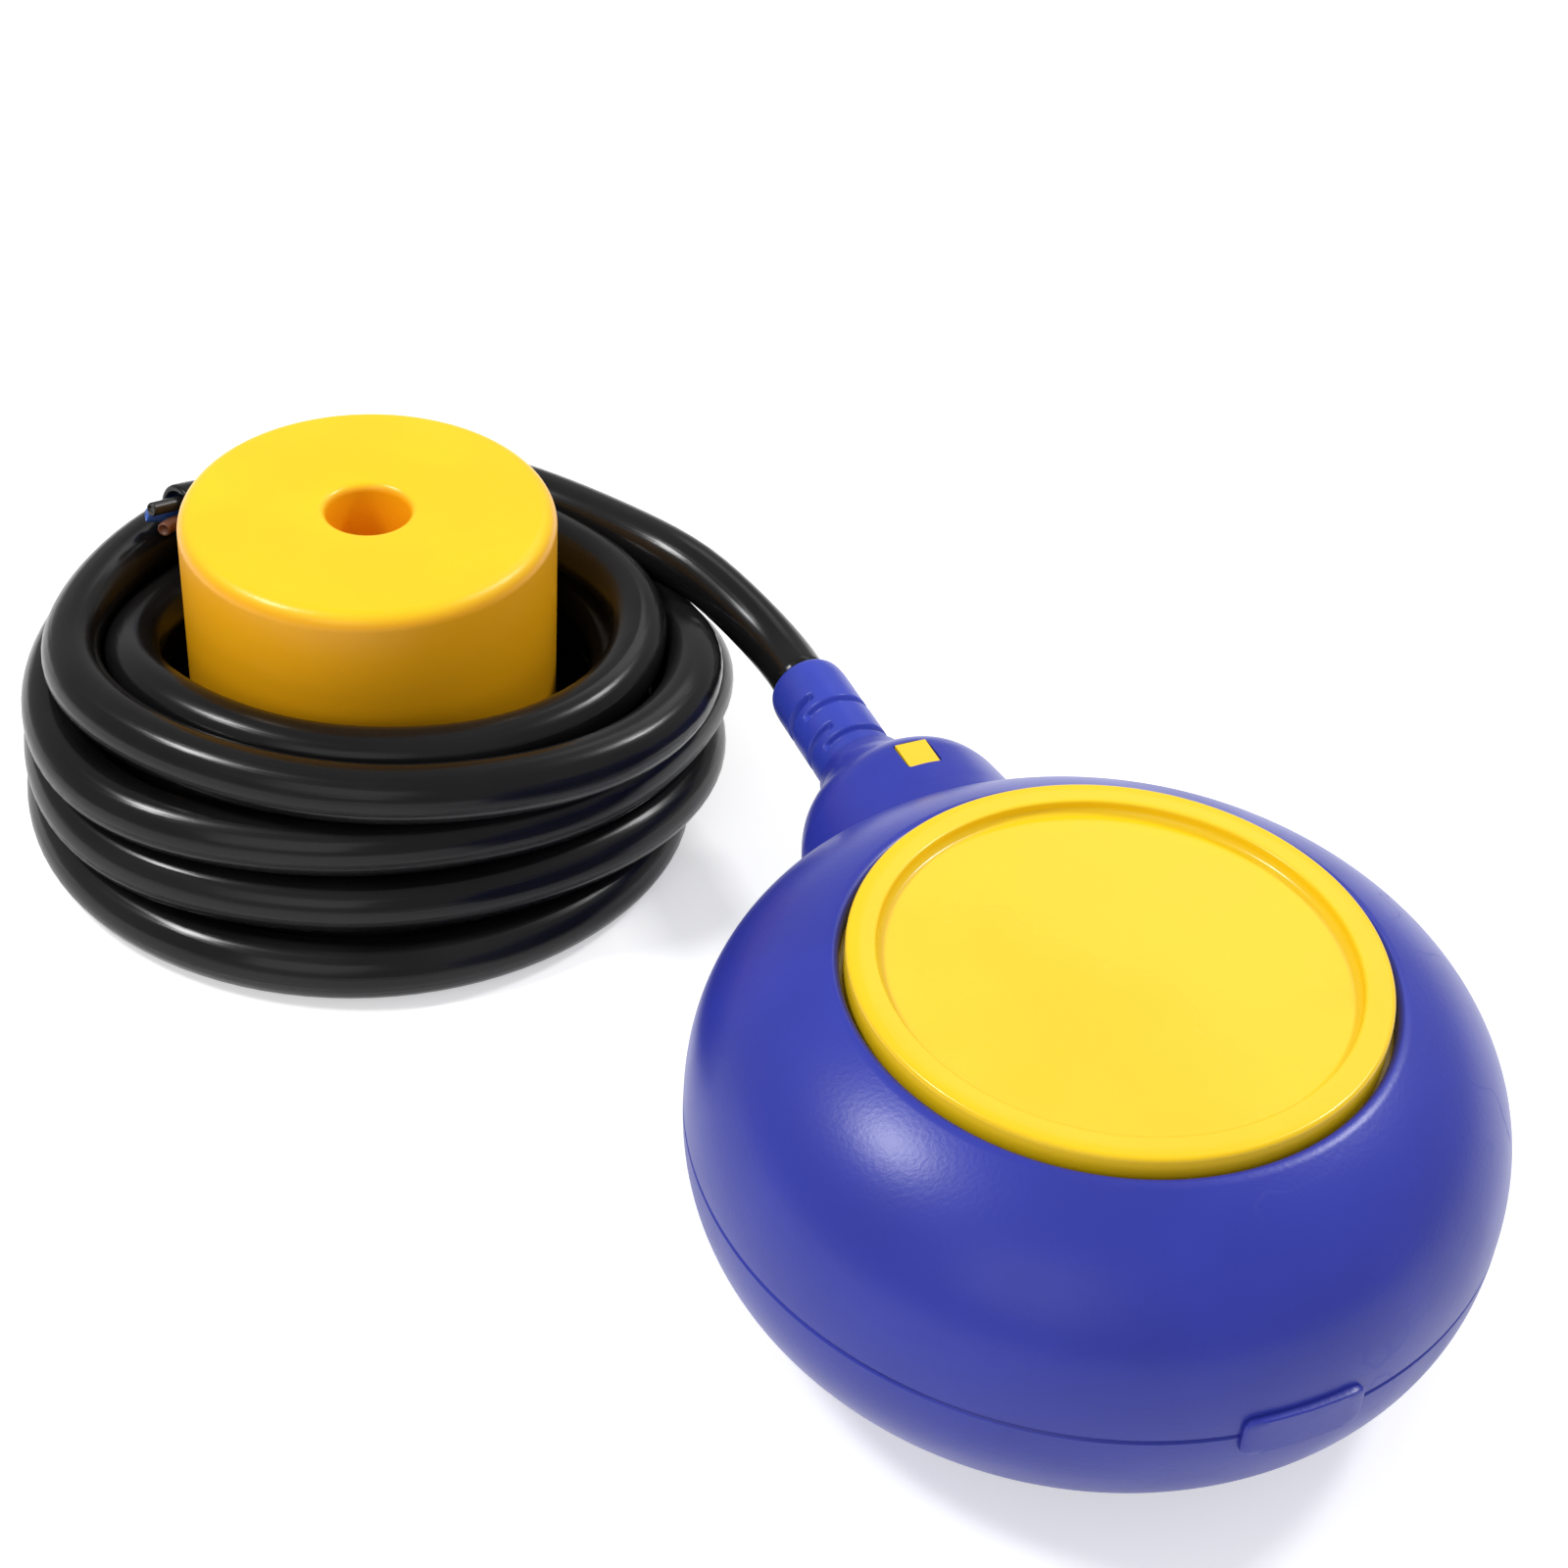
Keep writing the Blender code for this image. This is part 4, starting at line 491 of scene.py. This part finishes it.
def plastic_group():
    """A node group for moulded plastic. It clouds one colour with another in soft patches, marks
    the skin with fine grain and a few faint rubbed lines, and gives the colour, the roughness and
    the skin's height."""
    group, given, result = new_group(
        "moulded plastic",
        {
            "Colour": "Color", "Clouded": "Color", "Patches": "Float", "Grain": "Float",
            "Smooth": "Float", "Dull": "Float",
        },
        {"Colour": "Color", "Roughness": "Float", "Height": "Float"},
    )
    place = group.nodes.new("ShaderNodeTexCoord").outputs["Object"]
    patches = noise(group, 1.0, 4, place)
    group.links.new(given["Patches"], patches.node.inputs["Scale"])
    grain = noise(group, 1.0, 2, place)
    group.links.new(given["Grain"], grain.node.inputs["Scale"])
    bent = noise(group, 14.0, 2, place)
    rubbed = group.nodes.new("ShaderNodeTexWave")
    rubbed.bands_direction = "DIAGONAL"
    rubbed.inputs["Scale"].default_value = 26
    rubbed.inputs["Distortion"].default_value = 22
    rubbed.inputs["Detail"].default_value = 3
    rubbed.inputs["Detail Scale"].default_value = 1.4
    group.links.new(place, rubbed.inputs["Vector"])
    lines = group.nodes.new("ShaderNodeMath")
    lines.operation = "MULTIPLY"
    group.links.new(spread(group, rubbed.outputs["Fac"], 0.985, 1.0, 0.0, 1.0), lines.inputs[0])
    group.links.new(spread(group, bent, 0.56, 0.70, 0.0, 1.0), lines.inputs[1])
    colour = blended(group, spread(group, patches, 0.32, 0.68, 0, 1), (0, 0, 0), (0, 0, 0))
    group.links.new(given["Colour"], colour.node.inputs[6])
    group.links.new(given["Clouded"], colour.node.inputs[7])
    group.links.new(colour, result["Colour"])
    wear = group.nodes.new("ShaderNodeMath")
    wear.operation = "MAXIMUM"
    group.links.new(spread(group, patches, 0.40, 0.72, 0, 0.55), wear.inputs[0])
    group.links.new(lines.outputs[0], wear.inputs[1])
    rough = spread(group, wear.outputs[0], 0, 1, 0, 1)
    group.links.new(given["Smooth"], rough.node.inputs["To Min"])
    group.links.new(given["Dull"], rough.node.inputs["To Max"])
    group.links.new(rough, result["Roughness"])
    group.links.new(grain, result["Height"])
    return group


plastic_skin = plastic_group()


def moulded(name, colour, clouded, smooth, dull, patches=55.0, grain=1500.0, depth=0.00002, **sockets):
    """A moulded plastic of two close colours. The group's grain is pressed into the surface to the
    given depth."""
    made, tree, shader = new_material(name, **sockets)
    skin = placed(
        tree, plastic_skin, Colour=(*colour, 1), Clouded=(*clouded, 1), Patches=patches, Grain=grain,
        Smooth=smooth, Dull=dull,
    )
    tree.links.new(skin["Colour"], shader.inputs["Base Color"])
    tree.links.new(skin["Roughness"], shader.inputs["Roughness"])
    tree.links.new(bumped(tree, skin["Height"], depth), shader.inputs["Normal"])
    return made


boot_piece = boot_mesh()
boot_blue = moulded(
    "boot blue", (0.036, 0.060, 0.470), (0.031, 0.051, 0.410), 0.34, 0.50, grain=1900.0,
    Specular_IOR_Level=0.36,
)
boot_piece.data.materials.append(boot_blue)
boot_piece.data.set_sharp_from_angle(angle=math.radians(50))
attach(boot_piece, "shell")
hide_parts("strain_relief_boot")


# Float body. A blue plastic ring moulded over the capsule. It has a fine seam round its equator, a
# bare plate on the seam in front, a lip round each face, and a bell-shaped boss for the neck with a
# small window in its top.
BODY_RADIUS = 0.0525
BODY_CROWN = 0.0303
BODY_POWER = 2.4
LIP_RADIUS = 0.0343
LIP_ROUND = 0.0010
CAVITY_RADIUS = 0.0366
CAVITY_TOP = 0.0218
SEAM_DEPTH = 0.0004
PLATE_HALF_WIDTH = 0.0080
PLATE_HALF_HEIGHT = 0.0030
PLATE_RAISE = 0.0009
WINDOW_HALF_WIDTH = 0.0026
WINDOW_HALF_LENGTH = 0.0028
WINDOW_MIDDLE = 0.0568

# The boss's stations: how far they lie from the float's middle, half width and half height.
BOSS_STATIONS = (
    (0.0420, 0.0178, 0.0174), (0.0500, 0.0168, 0.0163), (0.0550, 0.0163, 0.0159), (0.0583, 0.0158, 0.0157),
    (0.0600, 0.0151, 0.0154), (0.0615, 0.0144, 0.0147), (0.0630, 0.0135, 0.0135), (0.0646, 0.0122, 0.0119),
    (0.0662, 0.0106, 0.0102), (0.0680, 0.0090, 0.0087), (0.0700, 0.0077, 0.0075), (0.0725, 0.0068, 0.0068),
)


def turned(name, section, centre, sides, closed=True, lying=False):
    """A section of (radius, height) points turned once round an upright axis, or round one along Y
    where it is lying. A closed section makes a ring, and an open one a solid that is flat across
    the axis at both ends."""
    turn = np.linspace(0, 2 * np.pi, sides, endpoint=False)
    radius, height = section[:, :1], section[:, 1:] + 0 * turn
    round_parts = [radius * np.cos(turn), radius * np.sin(turn)]
    parts = [round_parts[0], height, round_parts[1]] if lying else [*round_parts, height]
    return grid_mesh(name, np.stack(parts, axis=2) + np.array(centre), wrap=(closed, True))


def squared_off(wave, power):
    """A cosine or sine whose size is taken to the power of 2 over the given one, as for a
    superellipse."""
    return np.sign(wave) * np.abs(wave) ** (2 / power)


def body_section():
    """Half of it is a superellipse from the equator up to the lip: the radius times the cosine, and
    the crown times the sine, each to the power of 2 over 2.4. Then come the rounded lip and the
    wall down to the cavity."""
    last = math.acos(((LIP_RADIUS + LIP_ROUND) / BODY_RADIUS) ** (BODY_POWER / 2))
    turn = last * np.linspace(0, 1, 46)[1:] ** 1.2
    outwards = BODY_RADIUS * squared_off(np.cos(turn), BODY_POWER)
    upwards = BODY_CROWN * squared_off(np.sin(turn), BODY_POWER)
    arc = np.stack([outwards, upwards], axis=1)
    arc = arc[arc[:, 1] > SEAM_DEPTH + 0.0003]
    seam = [
        (BODY_RADIUS - SEAM_DEPTH, 0), (BODY_RADIUS - 0.0001, 0.00025),
        (BODY_RADIUS - 0.00001, SEAM_DEPTH),
    ]
    top = arc[-1, 1]
    lip = rounding((LIP_RADIUS + LIP_ROUND, top), (LIP_RADIUS, top), (LIP_RADIUS, top - LIP_ROUND))
    half_section = np.concatenate([
        seam,
        arc,
        lip[1:],
        [(LIP_RADIUS, CAVITY_TOP), (CAVITY_RADIUS, CAVITY_TOP)],
    ])
    return np.concatenate([half_section, half_section[:0:-1] * (1, -1)])


def boss_mesh():
    """Elliptical sections along the neck. Their half width and half height are read off between a
    few stations and evened out, so that the bell runs in a soft curve from its wide foot to its
    narrow mouth."""
    stations = np.array(BOSS_STATIONS)
    along_neck = np.linspace(stations[0, 0], stations[-1, 0], 108)
    wide, tall = (
        evened_out(np.interp(along_neck, stations[:, 0], stations[:, column])) for column in (1, 2)
    )
    turn = np.linspace(0, 2 * np.pi, 128, endpoint=False)
    parts = [wide[:, None] * np.cos(turn), along_neck[:, None] + 0 * turn, tall[:, None] * np.sin(turn)]
    return grid_mesh("boss", np.stack(parts, axis=2) + float_centre)


def plate_mesh():
    """A rounded rectangle bent round the equator. Its rows shrink towards its middle and keep the
    outer radius, so that the face follows the ring, and its edge is rounded off by a few tenths of
    a millimetre."""
    turn = np.linspace(0, 2 * np.pi, 96, endpoint=False)
    across = squared_off(np.cos(turn), 9) * PLATE_HALF_WIDTH
    up = squared_off(np.sin(turn), 7) * PLATE_HALF_HEIGHT
    outer = BODY_RADIUS + PLATE_RAISE
    rows = [(BODY_RADIUS - 0.002, 1), (outer - 0.0004, 1), (outer - 0.00012, 0.97), (outer, 0.91)]
    rows += [(outer, share) for share in (0.75, 0.55, 0.35, 0.15, 0.03)]
    grid = []
    for radius, share in rows:
        angle = across * share / BODY_RADIUS
        grid.append(np.stack([radius * np.sin(angle), -radius * np.cos(angle), up * share], axis=1))
    return grid_mesh("plate", np.array(grid) + float_centre)


def window_mesh():
    """A prism on a rounded rectangle, where the bush's lug shows through the boss."""
    turn = np.linspace(0, 2 * np.pi, 48, endpoint=False)
    across = squared_off(np.cos(turn), 10) * WINDOW_HALF_WIDTH
    ahead = WINDOW_MIDDLE + squared_off(np.sin(turn), 10) * WINDOW_HALF_LENGTH
    grid = [np.stack([across, ahead, 0 * turn + level], axis=1) for level in (0.0, BODY_CROWN)]
    return grid_mesh("window", np.array(grid) + float_centre)


def carved(target, *changes):
    """Joins the tools to the target or cuts them out of it, in turn, and leaves it one mesh. The
    tools are deleted."""
    for operation, tool in changes:
        change = target.modifiers.new(tool.name, "BOOLEAN")
        change.operation = operation
        change.solver = "MANIFOLD"
        change.object = tool
    bpy.context.view_layer.update()
    whole = target.evaluated_get(bpy.context.evaluated_depsgraph_get())
    finished = bpy.data.meshes.new_from_object(whole)
    finished.materials.clear()
    target.modifiers.clear()
    target.data = finished
    for _, tool in changes:
        bpy.data.objects.remove(tool)
    finished.shade_smooth()
    finished.set_sharp_from_angle(angle=math.radians(30))


# The neck's stepped hole: radius and distance from the float's middle, for the bush, the boot's
# flange and the boot.
NECK_HOLE = np.array([
    (0.0085, 0.0292), (0.0085, 0.0613), (0.0081, 0.0613),
    (0.0081, 0.0646), (0.0063, 0.0646), (0.0063, 0.0733),
])
body_piece = turned("body", body_section(), float_centre, 256)
carved(
    body_piece, ("UNION", boss_mesh()), ("UNION", plate_mesh()),
    ("DIFFERENCE", turned("neck_hole", NECK_HOLE, float_centre, 96, closed=False, lying=True)),
    ("DIFFERENCE", window_mesh()),
)
body_blue = moulded(
    "body blue", (0.028, 0.040, 0.375), (0.024, 0.034, 0.325), 0.31, 0.44, patches=40.0,
    Specular_IOR_Level=0.36,
)
body_piece.data.materials.append(body_blue)
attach(body_piece, "shell")
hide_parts("float_body")


# Capsule. Two yellow plastic cups, the upper one's spigot set in the lower one's rabbet on a rubber
# ring. Each has a recessed round face with a raised rim, which the body leaves open, and the lower
# cup has columns for the carrier.
FACE_HEIGHT = 0.02495
FACE_INSIDE = 0.02275
RIM_HEIGHT = 0.02675
RIM_INSIDE = 0.0299
RIM_OUTSIDE = 0.0337
CUP_RADIUS = 0.0363
CUP_INSIDE = 0.0333
CUP_SHOULDER = 0.0215
CUP_PARTING = 0.00015


def capsule_cup(name, foot, upwards):
    """The section from the middle of the recessed face, up its fillet to the rim, down the wall to
    the shoulder and the parting, and back along the inside. The lower cup is the same outside,
    turned over."""
    face, rim, inner, outer = FACE_HEIGHT, RIM_HEIGHT, RIM_INSIDE, RIM_OUTSIDE
    section = np.concatenate([
        [(0.009, face), (0.018, face), (0.026, face)],
        rounding((inner - 0.001, face), (inner, face), (inner, face + 0.001)),
        rounding((inner, rim - 0.00035), (inner, rim), (inner + 0.00035, rim), 5),
        rounding((outer - 0.0006, rim), (outer, rim), (outer, rim - 0.0006), 6),
        [(outer, CUP_SHOULDER), (CUP_RADIUS, CUP_SHOULDER), (CUP_RADIUS, CUP_PARTING)],
        foot,
        [(CUP_INSIDE, FACE_INSIDE), (0.020, FACE_INSIDE), (0.009, FACE_INSIDE)],
    ])
    return turned(name, section * (1, upwards), float_centre, 192, closed=False)


# The spigot's and the rabbet's radius and height, the notch round the neck's bush, and the columns
# with their pilots.
SPIGOT = [(0.0346, CUP_PARTING), (0.0346, -0.0030), (CUP_INSIDE, -0.0030)]
RABBET = [(0.0349, CUP_PARTING), (0.0349, 0.0050), (CUP_INSIDE, 0.0050)]
NOTCH = np.array([(0.0085, 0.0292), (0.0085, 0.0610)])
COLUMN = np.array([(0.0030, -0.02385), (0.0030, -0.0098)])
PILOT = np.array([(0.0013, -0.0176), (0.0013, -0.0073)])
COLUMN_PLACES = ((0.0190, 0.0150), (-0.0190, 0.0150), (0.0170, -0.0210))
upper_cup = capsule_cup("upper_cup", SPIGOT, 1)
carved(upper_cup, ("DIFFERENCE", turned("notch", NOTCH, float_centre, 64, closed=False, lying=True)))
lower_cup = capsule_cup("lower_cup", RABBET, -1)
lower_changes = [("DIFFERENCE", turned("notch", NOTCH, float_centre, 64, closed=False, lying=True))]
for column_x, column_y in COLUMN_PLACES:
    column_centre = float_centre + (column_x, column_y, 0)
    lower_changes.append(("UNION", turned("column", COLUMN, column_centre, 32, closed=False)))
    lower_changes.append(("DIFFERENCE", turned("pilot", PILOT, column_centre, 24, closed=False)))
carved(lower_cup, *lower_changes)
cap_yellow = moulded(
    "capsule yellow", (0.930, 0.615, 0.009), (0.900, 0.575, 0.007), 0.26, 0.40, patches=30.0, grain=1200.0,
    depth=0.000012, Specular_IOR_Level=0.28, Coat_Weight=0.16, Coat_Roughness=0.06,
)
for cup, node in ((upper_cup, "upper_capsule"), (lower_cup, "lower_capsule")):
    cup.data.materials.append(cap_yellow)
    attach(cup, "shell")
    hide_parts(node)


# Counterweight. A heavy cylinder moulded in amber plastic, rounded at its top edge, with a hole
# right through that the cable is threaded into in use. It stands loose inside the coil. Its sides
# are painted a deeper amber than its flat top, as painted shade for the light falling from above.
WEIGHT_BORE = 0.0062
WEIGHT_ROUND = 0.0026
WEIGHT_FOOT = 0.0013
WEIGHT_LIP = 0.0014
side, top = weight_radius, weight_high.z - weight_low.z
bore_edge = WEIGHT_BORE + WEIGHT_LIP
weight_section = np.concatenate([
    rounding((side - WEIGHT_ROUND, top), (side, top), (side, top - WEIGHT_ROUND), 14),
    rounding((side, WEIGHT_FOOT), (side, 0), (side - WEIGHT_FOOT, 0)),
    rounding((bore_edge, 0), (WEIGHT_BORE, 0), (WEIGHT_BORE, WEIGHT_LIP)),
    rounding((WEIGHT_BORE, top - WEIGHT_LIP), (WEIGHT_BORE, top), (bore_edge, top)),
])
weight_piece = turned("weight", weight_section, (*weight_centre, 0.0), 192)
weight_piece.data.set_sharp_from_angle(angle=math.radians(60))
weight_amber = moulded(
    "weight amber", (0.950, 0.620, 0.009), (0.930, 0.580, 0.007), 0.30, 0.44, patches=45.0,
    grain=900.0, depth=0.00003, Specular_IOR_Level=0.36,
)
# Painted shade: the sides take a deeper, more orange amber than the top, as though the top were lit from
# above and the sides lay in shade.
WEIGHT_SIDE_PAINTED_SHADE = (0.960, 0.440, 0.006)
tree = weight_amber.node_tree
shader = tree.nodes["Principled BSDF"]
upright = tree.nodes.new("ShaderNodeSeparateXYZ")
tree.links.new(tree.nodes.new("ShaderNodeTexCoord").outputs["Normal"], upright.inputs["Vector"])
top_painted_light_share = spread(tree, upright.outputs["Z"], 0.35, 0.95, 0, 1)
end_amber = shader.inputs["Base Color"].links[0].from_socket
weight_colour_with_painted_shade = blended(tree, top_painted_light_share, WEIGHT_SIDE_PAINTED_SHADE, end_amber)
tree.links.new(weight_colour_with_painted_shade, shader.inputs["Base Color"])
weight_piece.data.materials.append(weight_amber)
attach(weight_piece, "shell")
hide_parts("counterweight")


# Inner pieces. The switch, its carrier, the track, the screws, the terminals and the wires keep
# their CAD shapes, because the closed capsule hides them. Each takes the finish of its slot.
def tool_marks_group():
    """A node group for bare metal. Noise drawn out into fine tool marks gives the roughness and the
    skin's height, and a slow noise tarnishes the colour."""
    group, given, result = new_group(
        "tool marks",
        {"Colour": "Color", "Tarnish": "Color", "Marks": "Vector", "Smooth": "Float", "Dull": "Float"},
        {"Colour": "Color", "Roughness": "Float", "Height": "Float"},
    )
    place = group.nodes.new("ShaderNodeTexCoord").outputs["Object"]
    drawn_out = group.nodes.new("ShaderNodeMapping")
    group.links.new(place, drawn_out.inputs["Vector"])
    group.links.new(given["Marks"], drawn_out.inputs["Scale"])
    marks = noise(group, 1.0, 3, drawn_out.outputs["Vector"])
    tarnish = spread(group, noise(group, 160, 3, place), 0.35, 0.7, 0, 1)
    group.links.new(blended(group, tarnish, given["Colour"], given["Tarnish"]), result["Colour"])
    rough = spread(group, marks, 0.3, 0.7, 0, 1)
    group.links.new(given["Smooth"], rough.node.inputs["To Min"])
    group.links.new(given["Dull"], rough.node.inputs["To Max"])
    group.links.new(rough, result["Roughness"])
    group.links.new(marks, result["Height"])
    return group


metal_skin = tool_marks_group()


def turned_metal(name, colour, tarnish, smooth, dull, scale):
    """Bare metal in its own colour and tarnish, with tool marks that are nine times finer upwards
    than across."""
    made, tree, shader = new_material(name, Metallic=1.0)
    skin = placed(
        tree, metal_skin, Colour=(*colour, 1), Tarnish=(*tarnish, 1), Marks=(scale, scale, scale * 9),
        Smooth=smooth, Dull=dull,
    )
    tree.links.new(skin["Colour"], shader.inputs["Base Color"])
    tree.links.new(skin["Roughness"], shader.inputs["Roughness"])
    tree.links.new(bumped(tree, skin["Height"], 0.00001), shader.inputs["Normal"])
    return made


finishes = {
    "yellow_plastic": cap_yellow,
    "white_plastic": moulded("white plastic", (0.72, 0.71, 0.67), (0.64, 0.63, 0.59), 0.36, 0.5),
    "switch_case": moulded("switch case", (0.020, 0.020, 0.022), (0.028, 0.028, 0.030), 0.40, 0.55),
    "plunger_plastic": moulded("plunger red", (0.55, 0.030, 0.022), (0.46, 0.024, 0.018), 0.32, 0.45),
    "seal_rubber": moulded(
        "seal rubber", (0.022, 0.022, 0.021), (0.034, 0.033, 0.032), 0.62, 0.8, grain=800.0,
    ),
    "cable_jacket": moulded("inner cable", (0.0095, 0.0095, 0.0105), (0.014, 0.014, 0.015), 0.26, 0.4),
    "steel": turned_metal("bright steel", (0.56, 0.57, 0.58), (0.46, 0.46, 0.47), 0.20, 0.36, 240),
    "brass": turned_metal("brass", (0.78, 0.56, 0.23), (0.66, 0.44, 0.17), 0.24, 0.42, 200),
}
for core_piece in core_pieces:
    finishes[core_piece.name] = core_piece.data.materials[0]
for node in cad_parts.values():
    finish = finishes.get(node.material_slots[0].material.name.split(".")[0])
    if finish:
        node.material_slots[0].material = finish


# Floor and light. A plain white floor that keeps the object's shadow, an even grey sky, two soft
# lamps over the coil, one in front of the float, and a low panel behind it whose reflection lies
# faintly on the capsule's face.
FLOOR_HALF = 20.0
FLOOR_GLOW = 0.48
FLOOR_CORNERS = [
    (-FLOOR_HALF, -FLOOR_HALF, 0), (FLOOR_HALF, -FLOOR_HALF, 0),
    (FLOOR_HALF, FLOOR_HALF, 0), (-FLOOR_HALF, FLOOR_HALF, 0),
]
floor_mesh = bpy.data.meshes.new("floor")
floor_mesh.from_pydata(FLOOR_CORNERS, [], [(0, 1, 2, 3)])
floor = bpy.data.objects.new("floor", floor_mesh)
bpy.context.collection.objects.link(floor)


def seen_directly(tree):
    """One where a ray comes from the camera, a reflection or a clear piece, and zero where it only
    carries light."""
    path = tree.nodes.new("ShaderNodeLightPath")
    share = path.outputs["Is Camera Ray"]
    for ray in ("Is Glossy Ray", "Is Transmission Ray"):
        either = tree.nodes.new("ShaderNodeMath")
        either.operation = "MAXIMUM"
        tree.links.new(share, either.inputs[0])
        tree.links.new(path.outputs[ray], either.inputs[1])
        share = either.outputs[0]
    return share


floor_paper, tree, shader = new_material("floor paper", Roughness=0.9, Specular_IOR_Level=0.1)
shader.inputs["Base Color"].default_value = (0.80, 0.80, 0.80, 1)
shader.inputs["Emission Color"].default_value = (1, 1, 1, 1)
floor_glow = spread(tree, seen_directly(tree), 0, 1, 0, FLOOR_GLOW)
tree.links.new(floor_glow, shader.inputs["Emission Strength"])
floor_mesh.materials.append(floor_paper)


def soft_lamp(name, direction, distance, size, power, aim_at):
    """A rectangular lamp, at a distance from what it aims at and in the given direction from it."""
    data = bpy.data.lights.new(name, "AREA")
    data.shape = "RECTANGLE"
    data.size, data.size_y = size
    data.energy = power
    lamp = bpy.data.objects.new(name, data)
    bpy.context.collection.objects.link(lamp)
    way = Vector(direction).normalized()
    lamp.location = Vector(aim_at) + way * distance
    lamp.rotation_euler = way.to_track_quat("Z", "Y").to_euler()


soft_lamp("lamp_left", (-0.505, 0.126, 0.844), 1.1, (0.20, 0.20), 6.0, (*weight_centre, 0))
soft_lamp("lamp_right", (0.654, 0.001, 0.741), 1.3, (0.20, 0.20), 6.0, (*weight_centre, 0))
soft_lamp("lamp_front", (-0.55, -0.60, 0.60), 1.6, (0.9, 0.9), 2.6, (float_x, float_y, 0))
soft_lamp("lamp_panel", (0.479, 0.552, 0.683), 1.2, (0.50, 0.30), 0.7, (float_x, float_y, 0.025))
world = bpy.data.worlds.new("studio")
world.use_nodes = True
world.node_tree.nodes["Background"].inputs["Color"].default_value = (0.50, 0.50, 0.50, 1)
bpy.context.scene.world = world
bpy.context.scene.view_settings.view_transform = "Standard"
